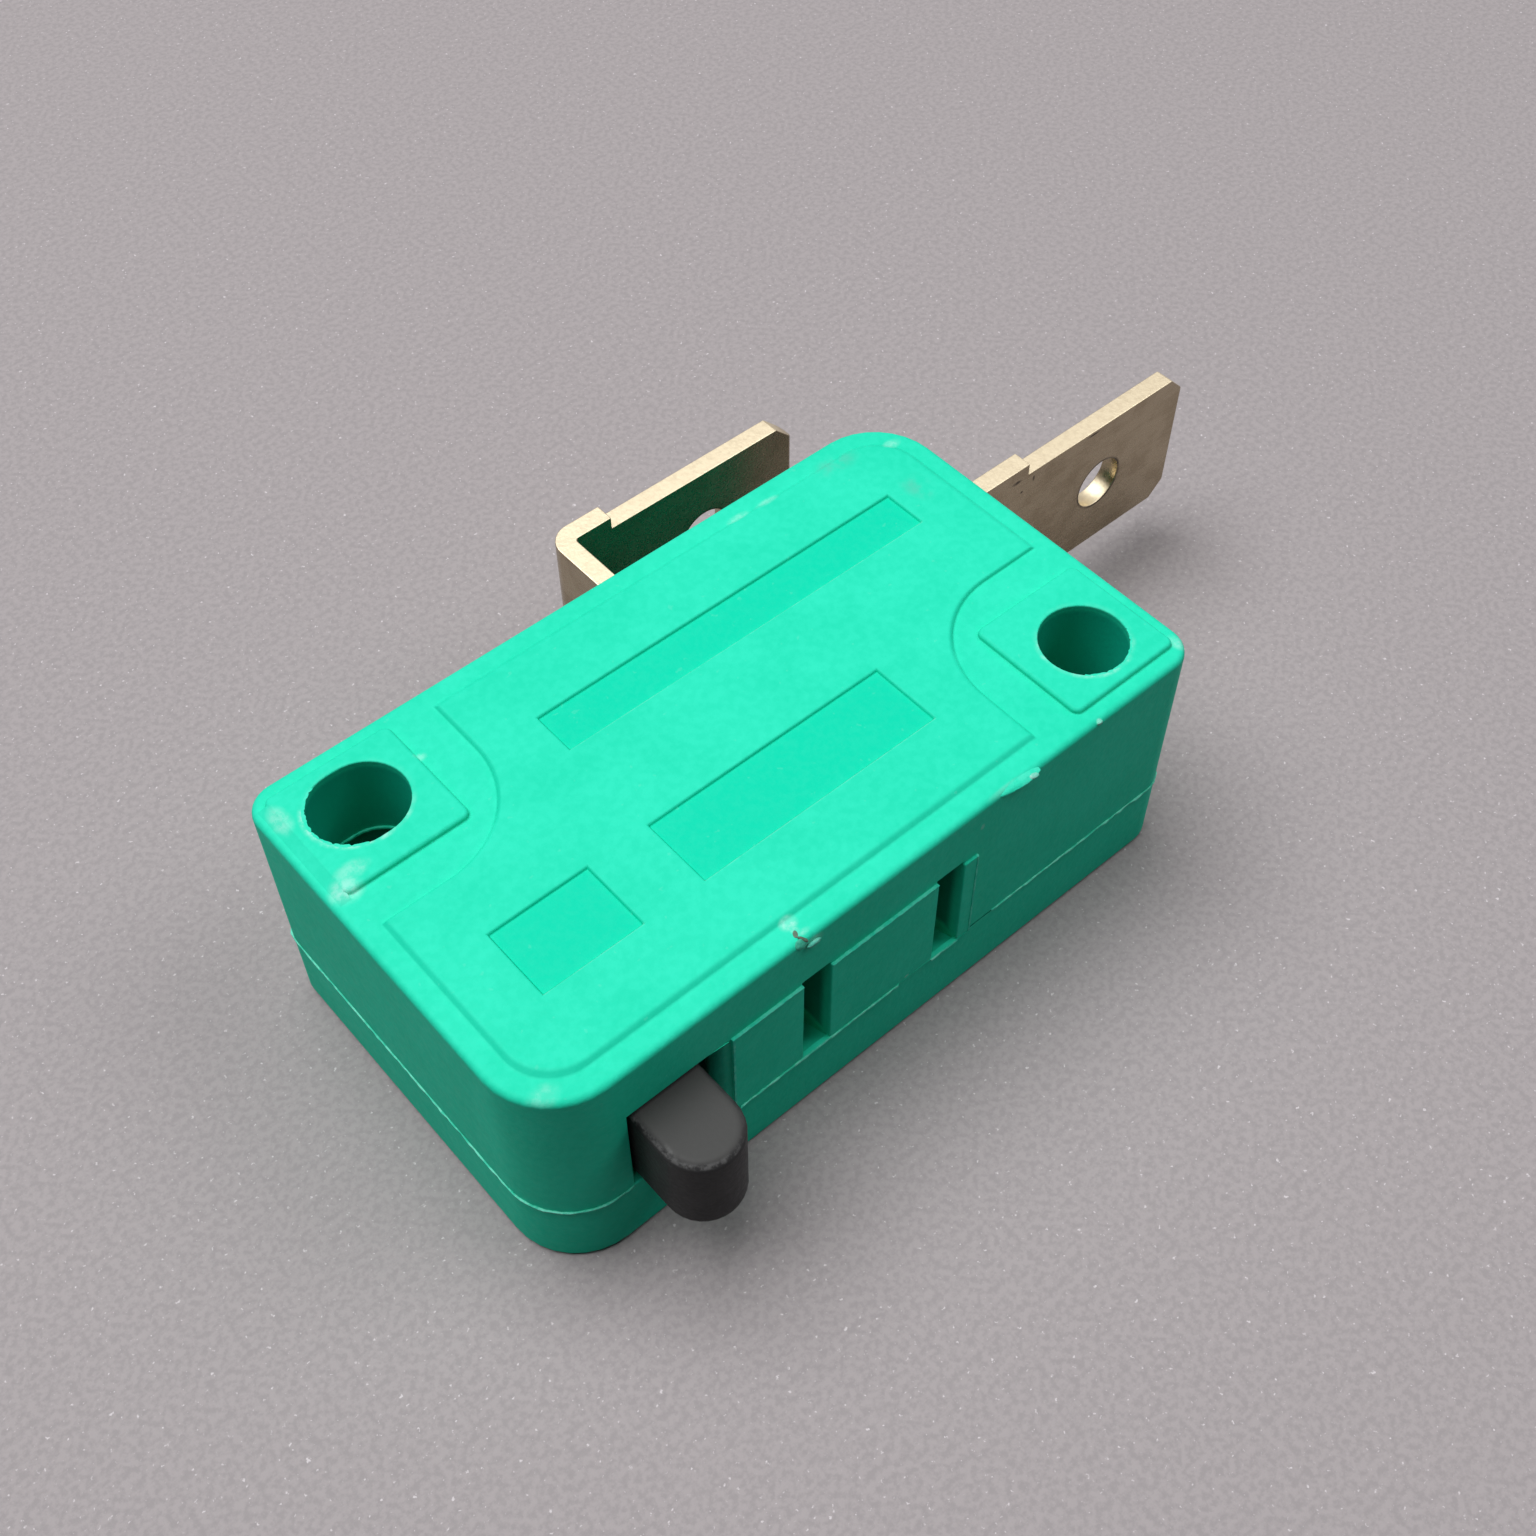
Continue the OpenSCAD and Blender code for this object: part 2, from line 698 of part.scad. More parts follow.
// Side leg of the lever, from its plate down to the pivot
module lever_leg_plan() {
    plate_x0 = plunger_x - lever_plate_l / 2;
    plate_x1 = plunger_x + lever_plate_l / 2;
    top = plate_y - lever_t / 2;
    low = top + leg_depth;
    polygon([[plate_x0, top], [plate_x1, top], [pivot_x, pivot_y - pivot_r], [pivot_x, pivot_y + pivot_r],
             [plate_x0 + leg_depth, low], [plate_x0, low]]);
    translate([pivot_x, pivot_y])
        circle(pivot_r);
}

// Stirrup lever between the plunger and the spring
module drive_lever() {
    plate_x0 = plunger_x - lever_plate_l / 2;
    span = 2 * (lever_in + lever_t);
    tail_end = hook_y + strip_w / 2;
    color("darkgoldenrod")
        difference() {
            union() {
                translate([plate_x0, plate_y - lever_t / 2, mid_z - span / 2])
                    cube([lever_plate_l, lever_t, span]);
                for (s = [-1, 1])
                    translate([0, 0, mid_z + s * (lever_in + lever_t / 2) - lever_t / 2])
                        linear_extrude(lever_t)
                            lever_leg_plan();
                translate([tail_x - lever_t / 2, plate_y, mid_z - tail_w / 2])
                    cube([lever_t, tail_end - plate_y, tail_w]);
            }
            translate([tail_x - cut, hook_y - strip_w / 2 - eye_l, mid_z - eye_w / 2])
                cube([2 * cut, eye_l, eye_w]);
        }
}

// One ring of points of the spring's wire, from its middle, its direction and the way to its first point
function wire_ring(middle, along, up) =
    let (a = along / norm(along), u = up / norm(up), v = cross(a, u))
    [for (i = [0:wire_fn - 1])
        let (b = 360 * i / wire_fn)
        middle + wire_d / 2 * (cos(b) * u + sin(b) * v)];

// Rings of an end loop round the place x of the spring's axis, from the angle start
function loop_rings(x, start, up) =
    [for (k = [0:loop_steps - 1])
        let (a = start + k * wire_step)
        wire_ring([x + loop_r * cos(a), loop_r * sin(a), 0], [-sin(a), cos(a), 0], up)];

// Rings of the coil between its first and last corner
function coil_rings() =
    let (r = coil_d / 2, pitch = coil_l / coil_turns)
    [for (a = [wire_step:wire_step:360 * coil_turns - wire_step])
        wire_ring([coil_start + pitch * a / 360, r * cos(a), r * sin(a)],
                  [pitch / (2 * PI), -r * sin(a), r * cos(a)],
                  [0, -cos(a), -sin(a)])];

// All rings of the wire: loop, straight end, coil, straight end and loop
function spring_rings() =
    let (r = coil_d / 2, coil_end = coil_start + coil_l)
    concat(
        loop_rings(0, 360 - loop_steps * wire_step, [0, 0, 1]),
        [wire_ring([loop_r, 0, 0], [1, 1, 0], [0, 0, 1]),
         wire_ring([coil_start, 0, 0], [1, 1, 0], [0, 0, 1]),
         wire_ring([coil_start, r, 0], [0, 1, 1], [0, -1, 1])],
        coil_rings(),
        [wire_ring([coil_end, r, 0], [0, -1, 1], [0, -1, -1]),
         wire_ring([coil_end, 0, 0], [1, -1, 0], [0, 0, -1]),
         wire_ring([spring_l - loop_r, 0, 0], [1, -1, 0], [0, 0, -1])],
        loop_rings(spring_l, 180 + wire_step, [0, 0, -1]));

// Tension spring that snaps the arm over, one wire from end to end
module snap_spring() {
    rings = spring_rings();
    last = len(rings) - 1;
    walls = [for (k = [0:last - 1], i = [0:wire_fn - 1])
        let (a = k * wire_fn, b = a + wire_fn, j = (i + 1) % wire_fn)
        each [[a + i, b + i, b + j], [a + i, b + j, a + j]]];
    start_cap = [for (i = [0:wire_fn - 1]) i];
    end_cap = [for (i = [wire_fn - 1:-1:0]) last * wire_fn + i];
    color("lightsteelblue")
        translate([tail_x, hook_y, mid_z])
            rotate(spring_turn)
                polyhedron([for (ring = rings) each ring], concat([start_cap], walls, [end_cap]));
}

case();
cover();
plunger();
end_terminal();
fixed_contact();
com_terminal();
contact_arm();
moving_contact();
drive_lever();
snap_spring();
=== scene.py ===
import json
import math

import bpy
from mathutils import Matrix, Vector

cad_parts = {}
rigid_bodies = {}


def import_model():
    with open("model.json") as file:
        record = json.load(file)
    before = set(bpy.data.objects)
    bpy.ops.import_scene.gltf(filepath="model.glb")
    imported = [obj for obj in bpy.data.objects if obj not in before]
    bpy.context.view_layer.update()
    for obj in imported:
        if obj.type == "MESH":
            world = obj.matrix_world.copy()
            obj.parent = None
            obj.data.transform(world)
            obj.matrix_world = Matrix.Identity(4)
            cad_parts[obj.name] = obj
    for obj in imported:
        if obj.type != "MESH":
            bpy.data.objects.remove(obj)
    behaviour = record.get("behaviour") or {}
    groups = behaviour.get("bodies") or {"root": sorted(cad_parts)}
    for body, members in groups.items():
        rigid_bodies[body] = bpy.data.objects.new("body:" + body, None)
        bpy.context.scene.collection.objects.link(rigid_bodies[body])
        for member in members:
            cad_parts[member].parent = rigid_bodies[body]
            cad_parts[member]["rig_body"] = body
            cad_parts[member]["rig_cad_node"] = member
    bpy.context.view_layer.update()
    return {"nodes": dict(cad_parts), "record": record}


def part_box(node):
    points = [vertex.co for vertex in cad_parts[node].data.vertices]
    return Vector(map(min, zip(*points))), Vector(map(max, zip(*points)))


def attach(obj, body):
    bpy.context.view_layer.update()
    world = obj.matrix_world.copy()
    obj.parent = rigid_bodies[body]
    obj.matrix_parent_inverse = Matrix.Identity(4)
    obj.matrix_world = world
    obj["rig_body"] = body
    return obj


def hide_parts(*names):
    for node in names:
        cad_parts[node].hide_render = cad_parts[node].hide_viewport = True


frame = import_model()
mm = 0.001
print("frame loaded:", len(frame["nodes"]), "solids")

# Sizes of the solids in mm, which the pieces and patterns below are placed by
caseLow, caseHigh = [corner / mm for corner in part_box("case")]
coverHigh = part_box("cover")[1] / mm
halfLong, halfWide = coverHigh.x, coverHigh.y
frontY, landY = -halfWide, caseLow.y  # plunger face, and the raised land on it
jointZ, padZ = caseLow.z, caseHigh.z  # joint of the two halves, and the pads round the holes
panelZ, rimZ = padZ - 0.06, padZ - 0.2  # raised panel on the top, and the rim round it
landX, landTopZ = (-6.8, 3.68), jointZ + 4.42
openingX = (-10.9, -7.3)  # opening of the plunger
slotMiddles, slotWide = (-3.3, 2.5), 1.15  # lever slots in the land
cornerR, smallCornerR = 2.6, 1.1  # upright corners away from the holes, and those beside them
mounts = {mount["name"]: mount for mount in frame["record"]["mounts"]}
roundHole = Vector(mounts["screw_hole"]["pos_m"]) / mm
longHole = Vector(mounts["long_hole"]["pos_m"]) / mm
holeR, holeLong = mounts["screw_hole"]["dims"]["r_mm"], 0.35
tabTips = [Vector(mounts[name]["pos_m"]) / mm for name in ("end_tab", "bent_tab")]
tabHoleIn, tabHoleR = 4.5, 1.1


# Selecting and finishing

def pickOnly(piece):
    if bpy.context.object and bpy.context.object.mode != "OBJECT":
        bpy.ops.object.mode_set(mode="OBJECT")
    bpy.ops.object.select_all(action="DESELECT")
    piece.select_set(True)
    bpy.context.view_layer.objects.active = piece


def editAll(piece):
    pickOnly(piece)
    bpy.ops.object.mode_set(mode="EDIT")
    bpy.ops.mesh.select_all(action="SELECT")


def pickParts(piece, kind, test):  # kind is VERT, EDGE or FACE, test says which stay selected
    pickOnly(piece)
    bpy.ops.object.mode_set(mode="EDIT")
    bpy.ops.mesh.select_mode(type=kind)
    bpy.ops.mesh.select_all(action="DESELECT")
    bpy.ops.object.mode_set(mode="OBJECT")
    mesh = piece.data
    parts = {"VERT": mesh.vertices, "EDGE": mesh.edges, "FACE": mesh.polygons}[kind]
    for part in parts:
        part.select = bool(test(part))
    bpy.ops.object.mode_set(mode="EDIT")


def applyModifier(piece, kind, **settings):
    pickOnly(piece)
    modifier = piece.modifiers.new(kind.lower(), kind)
    for key, value in settings.items():
        setattr(modifier, key, value)
    bpy.ops.object.modifier_apply(modifier=modifier.name)


def smoothUnder(degrees):
    bpy.ops.object.shade_smooth_by_angle(angle=math.radians(degrees))


def settle(piece, body, material):  # place goes into the mesh, then the piece rides on its body
    pickOnly(piece)
    bpy.ops.object.transform_apply(location=True, rotation=True, scale=True)
    piece.data.materials.clear()
    piece.data.materials.append(material)
    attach(piece, body)


# Nodes of the materials, and of the world

def startMaterial(name, roughness, metallic=0.0, gloss=0.5):
    material = bpy.data.materials.new(name)
    material.use_nodes = True
    shader = material.node_tree.nodes["Principled BSDF"]
    shader.inputs["Roughness"].default_value = roughness
    shader.inputs["Metallic"].default_value = metallic
    shader.inputs["Specular IOR Level"].default_value = gloss
    return material, shader


def addNode(material, kind, settings, feeds):
    node = material.node_tree.nodes.new("ShaderNode" + kind)
    for key, value in settings.items():
        setattr(node, key, value)
    for key, value in feeds.items():
        if isinstance(value, bpy.types.NodeSocket):
            material.node_tree.links.new(value, node.inputs[key])
        else:
            node.inputs[key].default_value = value
    return node


def vectors(material, operation, first, second=(0, 0, 0)):
    return addNode(material, "VectorMath", {"operation": operation}, {0: first, 1: second})


def placeInMm(material):  # place on the part, in millimetres
    coords = addNode(material, "TexCoord", {}, {})
    return addNode(material, "Mapping", {}, {"Vector": coords.outputs["Object"],
                                             "Scale": (1 / mm, 1 / mm, 1 / mm)}).outputs[0]


def facing(material, direction):  # how far a surface looks along a direction of the part
    coords = addNode(material, "TexCoord", {}, {})
    return vectors(material, "DOT_PRODUCT", coords.outputs["Normal"], direction).outputs["Value"]


def along(material, place, axis):
    return addNode(material, "SeparateXYZ", {}, {0: place}).outputs[axis]


def grain(material, place, perMm, detail=3.0, rough=0.55):
    return addNode(material, "TexNoise", {}, {"Vector": place, "Scale": perMm, "Detail": detail,
                                              "Roughness": rough}).outputs[0]


def sums(material, operation, first, second=0.0, third=0.0):
    return addNode(material, "Math", {"operation": operation},
                   {0: first, 1: second, 2: third}).outputs[0]


def times(material, first, *others):
    for other in others:
        first = sums(material, "MULTIPLY", first, other)
    return first


def strongest(material, values):
    top = values[0]
    for value in values[1:]:
        top = sums(material, "MAXIMUM", top, value)
    return top


def fade(material, value, low, high, toLow=0.0, toHigh=1.0):
    return addNode(material, "MapRange", {"interpolation_type": "SMOOTHSTEP"},
                   {0: value, 1: low, 2: high, 3: toLow, 4: toHigh}).outputs[0]


def blendColour(material, share, first, second):
    return addNode(material, "Mix", {"data_type": "RGBA"}, {0: share, 6: first, 7: second}).outputs[2]


def reachFrom(material, place, centre, scale):  # distance from a centre, stretched along the axes
    moved = vectors(material, "SUBTRACT", place, centre).outputs[0]
    scaled = vectors(material, "MULTIPLY", moved, scale).outputs[0]
    return vectors(material, "LENGTH", scaled).outputs["Value"]


def spotAt(material, place, centre, size, strength=1.0):  # full at the centre, none past the size
    reach = reachFrom(material, place, centre, [1 / part for part in size])
    return fade(material, reach, 1.0, 0.3, 0.0, strength)


def boxAt(material, place, low, high, soft):  # 1 inside the box, 0 a little outside it
    middle = [(a + b) / 2 for a, b in zip(low, high)]
    half = [(b - a) / 2 for a, b in zip(low, high)]
    moved = vectors(material, "SUBTRACT", place, middle).outputs[0]
    size = vectors(material, "ABSOLUTE", moved).outputs[0]
    over = vectors(material, "SUBTRACT", size, half).outputs[0]
    furthest = strongest(material, list(addNode(material, "SeparateXYZ", {}, {0: over}).outputs))
    return fade(material, furthest, soft, 0.0)


def seenDirectly(material):  # 1 for the camera and in reflections, 0 for light that bounces
    rays = addNode(material, "LightPath", {}, {})
    return strongest(material, [rays.outputs["Is Camera Ray"], rays.outputs["Is Glossy Ray"]])


def relief(material, shader, height, depth):
    bump = addNode(material, "Bump", {}, {"Height": height, "Distance": depth * mm, "Strength": 1.0})
    material.node_tree.links.new(bump.outputs[0], shader.inputs["Normal"])


def feed(material, shader, name, socket):
    material.node_tree.links.new(socket, shader.inputs[name])


upwards, backwards = (0, 0, 1), (0, 1, 0)
wide, middling, narrow = (0.2, 0.8), (0.35, 0.65), (0.40, 0.60)  # spans of a grain's values

# Moulded green plastic of the case and cover, with whitened edges and rubbed spots (at the outer edge of the
# pad at the plunger end partly a painted highlight), painted shade in its holes, slots and plunger opening,
# and painted shade along the near sides of the panel's step.
# Grains are per mm, shares say how much of a tone is mixed in
greenPlastic = {
    "base": (0.028, 0.765, 0.505, 1), "deep": (0.016, 0.70, 0.445, 1), "pale": (0.34, 0.84, 0.70, 1),
    "smudge": (0.10, 0.54, 0.40, 1), "boxTone": (0.002, 0.665, 0.42, 1),
    # the step, shade and dark tones are painted shade on the panel's step and in the holes, slots and opening
    "stepTone": (0.006, 0.56, 0.36, 1), "shade": (0.005, 0.43, 0.29, 1), "dark": (0.002, 0.07, 0.05, 1),
    "rough": 0.55, "gloss": 0.1, "fineGrain": 5.5, "fineDepth": 0.012,
    "cloudGrains": ((0.35, 4.0), (3.2, 3.0)),  # with their detail
    "wornGrain": 4.5, "brokenGrain": 2.4, "mouthGrain": 1.7, "speckGrain": 3.4, "smudgeGrain": 1.6,
    # the step, bore and recess shares below mix in painted shade
    "stepShare": 0.6, "boxEdgeShare": 0.22, "mouthShare": 0.9, "speckShare": 0.08, "smudgeShare": 0.6,
    "boreShare": 0.6, "recessShare": 0.65,
    "panelIn": 0.75, "mouthWide": 0.24, "boreStepZ": 6.75,
    "slotIn": (0.5, 1.8), "openingIn": (0.6, 1.6),  # where the recesses get painted shade, from the plunger face
    "wornSide": (-0.65, -0.76, 0),  # near side, where the hole mouths are whitened and the panel's step gets painted shade
    "labelBoxes": (((-4.72, 2.53), (10.9, 4.25)), ((-4.72, -4.25), (5.0, -1.51)),
                   ((-10.9, -4.25), (-7.14, -1.51))),
    "paleSpots": (  # centre, size, strength; the first three whiten the outer edge of the pad at the plunger end, partly wear and partly a painted highlight
        ((-13.3, 6.2, 10.2), (0.45, 0.8, 0.4), 0.6), ((-13.2, 2.7, 10.15), (0.75, 0.6, 0.4), 0.85),
        ((-12.7, 3.1, 10.3), (0.8, 0.45, 0.3), 0.5), ((-8.5, 5.5, 10.24), (0.3, 0.22, 0.4), 0.5),
        ((13.5, -7.2, 10.0), (0.35, 0.5, 0.3), 0.7), ((4.9, -7.75, 10.03), (1.1, 0.16, 0.2), 0.25),
        ((9.08, -7.80, 10.0), (0.16, 0.14, 0.18), 0.9),
        ((-3.80, -7.06, 10.1), (0.40, 0.34, 0.2), 1.0), ((-3.82, -7.38, 10.08), (0.2, 0.3, 0.2), 0.6),
        ((-3.62, -7.58, 10.06), (0.3, 0.14, 0.14), 0.6),
        ((-3.45, -7.86, 9.72), (0.5, 0.12, 0.28), 0.75), ((-12.9, -6.9, 10.05), (0.7, 0.5, 0.25), 0.35),
        ((0.75, -7.95, 3.38), (0.13, 0.1, 0.1), 0.7), ((0.5, -7.9, 3.1), (0.1, 0.1, 0.1), 0.6),
        ((3.8, -7.85, 9.0), (0.12, 0.1, 0.2), 0.6), ((12.9, 6.2, 10.1), (0.5, 0.3, 0.3), 0.6),
        ((7.5, 6.9, 10.1), (0.7, 0.25, 0.3), 0.5), ((6.2, 7.0, 10.1), (0.6, 0.25, 0.3), 0.5)),
    "smudges": (((10.6, 6.7, 10.1), (1.3, 0.7, 0.5)), ((12.0, 3.9, 10.1), (0.7, 1.0, 0.5))),
}


def makeGreenPlastic(s):
    material, shader = startMaterial("greenPlastic", s["rough"], 0.0, s["gloss"])
    place = placeInMm(material)
    height = along(material, place, 2)
    fine = grain(material, place, s["fineGrain"])
    clouds = [fade(material, grain(material, place, perMm, detail), *middling, 0.0, 0.5)
              for perMm, detail in s["cloudGrains"]]
    colour = blendColour(material, sums(material, "ADD", *clouds), s["deep"], s["base"])

    # Painted shade on the near sides of the panel, and floors of the label boxes
    step = times(material, fade(material, height, rimZ + 0.005, rimZ + 0.04),
                 fade(material, height, panelZ, panelZ - 0.04, 0.0, s["stepShare"]),
                 fade(material, facing(material, s["wornSide"]), -0.14, 0.0))
    insideX, insideY = halfLong - s["panelIn"], halfWide - s["panelIn"]
    panel = boxAt(material, place, (-insideX, -insideY, 0), (insideX, insideY, padZ), 0.05)
    colour = blendColour(material, times(material, step, panel), colour, s["stepTone"])
    floors = [boxAt(material, place, (*low, rimZ), (*high, panelZ - 0.05), 0.03)
              for low, high in s["labelBoxes"]]
    worn = fade(material, grain(material, place, s["wornGrain"]), *middling, 0.7, 1.0)
    colour = blendColour(material, times(material, strongest(material, floors), worn), colour, s["boxTone"])

    # Whitened spots (at the outer edge of the pad at the plunger end partly a painted highlight), near edges
    # of the label boxes, and mouths of the holes
    spots = [spotAt(material, place, *spot) for spot in s["paleSpots"]]
    for low, high in s["labelBoxes"]:
        edge = boxAt(material, place, (low[0], low[1] - 0.05, panelZ - 0.04), (high[0], low[1], padZ), 0.05)
        spots.append(times(material, edge, s["boxEdgeShare"]))
    mouths = times(material, fade(material, height, padZ - 0.12, padZ - 0.05, 0.0, s["mouthShare"]),
                   fade(material, grain(material, place, s["mouthGrain"], 3.0, 0.6), *narrow, 0.2, 1.0))
    bores = []  # distance from each hole's axis, and height of the step in it, or none
    for hole, longer, stepZ in ((roundHole, 0.0, None), (longHole, holeLong, s["boreStepZ"])):
        reach = reachFrom(material, place, hole, (holeR / (holeR + longer / 2), 1, 0))
        fromHole = vectors(material, "SUBTRACT", place, hole).outputs[0]
        side = vectors(material, "DOT_PRODUCT", fromHole, s["wornSide"]).outputs["Value"]
        spots.append(times(material, mouths, fade(material, reach, holeR + s["mouthWide"], holeR + 0.05),
                           fade(material, side, -0.6, 0.9, 0.1, 1.0)))
        bores.append((reach, stepZ))
    broken = fade(material, grain(material, place, s["brokenGrain"], 5.0, 0.7), *narrow, 0.35, 1.0)
    pale = times(material, strongest(material, spots), broken)
    specks = grain(material, place, s["speckGrain"], 2.0, 0.5)
    specks = fade(material, specks, 0.70, 0.76, 0.0, s["speckShare"])
    colour = blendColour(material, strongest(material, [pale, specks]), colour, s["pale"])

    # Dull smudges at the far corner
    dull = strongest(material, [spotAt(material, place, *spot, s["smudgeShare"]) for spot in s["smudges"]])
    dull = times(material, dull, fade(material, grain(material, place, s["smudgeGrain"], 4.0), *middling))
    colour = blendColour(material, dull, colour, s["smudge"])

    # Painted shade: holes, slots and the plunger's opening get darker further in
    for reach, stepZ in bores:
        bore = fade(material, reach, holeR + 0.1, holeR + 0.04)
        upper = fade(material, height, padZ - 0.08, padZ - 0.4)
        colour = blendColour(material, times(material, bore, upper), colour, s["shade"])
        if stepZ:
            lower = fade(material, height, stepZ + 0.05, stepZ - 0.2, 0.0, s["boreShare"])
            colour = blendColour(material, times(material, bore, lower), colour, s["dark"])
    near, far = [frontY + depth for depth in s["slotIn"]]
    recesses = [boxAt(material, place, (x - slotWide / 2, near, jointZ + 0.5),
                      (x + slotWide / 2, far, landTopZ + 0.1), 0.35) for x in slotMiddles]
    near, far = [frontY + depth for depth in s["openingIn"]]
    recesses.append(boxAt(material, place, (openingX[0], near, jointZ), (openingX[1], far, landTopZ), 0.3))
    recess = times(material, strongest(material, recesses), s["recessShare"])
    feed(material, shader, "Base Color", blendColour(material, recess, colour, s["dark"]))
    feed(material, shader, "Roughness", fade(material, fine, *wide, s["rough"] - 0.06, s["rough"] + 0.08))
    relief(material, shader, fine, s["fineDepth"])
    return material


# Black plastic of the button: its upward faces painted lighter as a painted highlight, its near upper edge
# scuffed and given a painted highlight, and painted shade on its sides by the opening
blackPlastic = {
    # the top tone is a painted highlight, the scuff tone is scuff and painted highlight, the gap tone is
    # painted shade
    "base": (0.042, 0.042, 0.043, 1), "worn": (0.050, 0.050, 0.051, 1), "top": (0.070, 0.070, 0.069, 1),
    "scuff": (0.22, 0.22, 0.22, 1), "gap": (0.012, 0.013, 0.013, 1), "rough": 0.42, "gloss": 0.06,
    "fineGrain": 6.0, "fineDepth": 0.01, "cloudGrain": 0.9, "scuffGrain": 3.0,
    "gapFrom": (-8.9, -8.1), "rimFrom": (-8.3, -9.2), "gapShare": 0.9, "rimShares": (0.1, 0.45),
    "scuffs": (((-10.5, -9.4, 7.2), (0.2, 0.5, 0.3), 0.5),),  # centre, size, strength
}


def makeBlackPlastic(s):
    material, shader = startMaterial("blackPlastic", s["rough"], 0.0, s["gloss"])
    place = placeInMm(material)
    fine = grain(material, place, s["fineGrain"])
    cloud = fade(material, grain(material, place, s["cloudGrain"], 4.0), 0.4, 0.7)
    colour = blendColour(material, cloud, s["base"], s["worn"])
    up = facing(material, upwards)
    # Upward faces are painted lighter: a painted highlight of the light from above
    colour = blendColour(material, fade(material, up, 0.7, 0.98), colour, s["top"])
    # Painted shade on the sides near the opening
    sides = times(material, fade(material, along(material, place, 1), *s["gapFrom"], 0.0, s["gapShare"]),
                  fade(material, up, 0.8, 0.5))
    colour = blendColour(material, sides, colour, s["gap"])
    # Painted highlight, with scuffs, along the rounded near upper edge
    rimHighlight = times(material, fade(material, up, 0.35, 0.55), fade(material, up, 0.92, 0.72),
                fade(material, along(material, place, 0), *s["rimFrom"], *s["rimShares"]))
    scuff = strongest(material, [rimHighlight] + [spotAt(material, place, *spot) for spot in s["scuffs"]])
    scuff = times(material, scuff, fade(material, grain(material, place, s["scuffGrain"], 4.0, 0.7), *narrow))
    feed(material, shader, "Base Color", blendColour(material, scuff, colour, s["scuff"]))
    feed(material, shader, "Roughness", fade(material, fine, *wide, s["rough"] - 0.05, s["rough"] + 0.1))
    relief(material, shader, fine, s["fineDepth"])
    return material


# Stamped brass of the terminals: tarnished faces, cream sheared edges, a dark burr round each hole, and
# painted shade on the bent blade's inner face, standing in for the dark housing it reflects
brassStrip = {
    "edge": (0.87, 0.78, 0.57, 1), "edgeDark": (0.79, 0.70, 0.505, 1), "face": (0.44, 0.36, 0.24, 1),
    "tarnish": (0.36, 0.285, 0.18, 1), "burr": (0.08, 0.06, 0.04, 1), "burrWide": 0.15,
    # the inner face tone is painted shade
    "innerFace": (0.16, 0.14, 0.09, 1), "innerFrom": (9.0, 10.0), "innerShare": 0.6,
    "rough": 0.28, "edgeRough": 0.5, "fineGrain": 7.0, "fineDepth": 0.008,
    "mottleGrain": 0.8, "rollGrain": 1.2, "rollScale": (0.5, 0.5, 5.0), "rollShare": 0.25,
    "burrGrain": 2.0, "edgeGrain": 4.0,
    "marks": (((16.4, 2.95, 8.27), (0.34, 0.3, 0.11)), ((17.35, 2.95, 7.95), (0.08, 0.3, 0.2)),
              ((16.75, 2.95, 7.6), (0.1, 0.3, 0.08)), ((20.6, 2.95, 8.17), (0.5, 0.3, 0.07))),
}


def makeBrass(s):
    material, shader = startMaterial("brassStrip", s["rough"], 1.0)
    place = placeInMm(material)
    fine = grain(material, place, s["fineGrain"])
    sheared = fade(material, sums(material, "ABSOLUTE", facing(material, upwards)), 0.5, 0.8)
    mottle = grain(material, place, s["mottleGrain"], 5.0, 0.62)
    rolled = addNode(material, "Mapping", {}, {"Vector": place, "Scale": s["rollScale"]}).outputs[0]
    stain = sums(material, "MULTIPLY_ADD", grain(material, rolled, s["rollGrain"], 4.0), s["rollShare"],
                 times(material, mottle, 1 - s["rollShare"]))
    face = blendColour(material, fade(material, stain, 0.42, 0.62), s["face"], s["tarnish"])
    # Painted shade: the bent blade's inner face, which looks at the housing, is darkened
    innerShade = times(material, fade(material, along(material, place, 1), *s["innerFrom"]),
                  fade(material, facing(material, backwards), -0.5, -0.8, 0.0, s["innerShare"]))
    face = blendColour(material, innerShade, face, s["innerFace"])
    burrs = []
    for tip in tabTips:
        reach = reachFrom(material, place, (tip.x - tabHoleIn, tip.y, tip.z), (1, 0, 1))
        burrs.append(times(material, fade(material, reach, tabHoleR + s["burrWide"], tabHoleR + 0.05),
                           fade(material, reach, tabHoleR, tabHoleR + 0.03)))
    burrs += [spotAt(material, place, *mark) for mark in s["marks"]]
    ragged = fade(material, grain(material, place, s["burrGrain"]), 0.3, 0.6, 0.35, 1.0)
    face = blendColour(material, times(material, strongest(material, burrs), ragged), face, s["burr"])
    patchy = fade(material, grain(material, place, s["edgeGrain"], 4.0, 0.7), 0.42, 0.66)
    edge = blendColour(material, patchy, s["edge"], s["edgeDark"])
    feed(material, shader, "Base Color", blendColour(material, sheared, face, edge))
    faceRough = fade(material, fine, *wide, s["rough"] - 0.08, s["rough"] + 0.1)
    feed(material, shader, "Roughness", fade(material, sheared, 0.0, 1.0, faceRough, s["edgeRough"]))
    relief(material, shader, fine, s["fineDepth"])
    return material


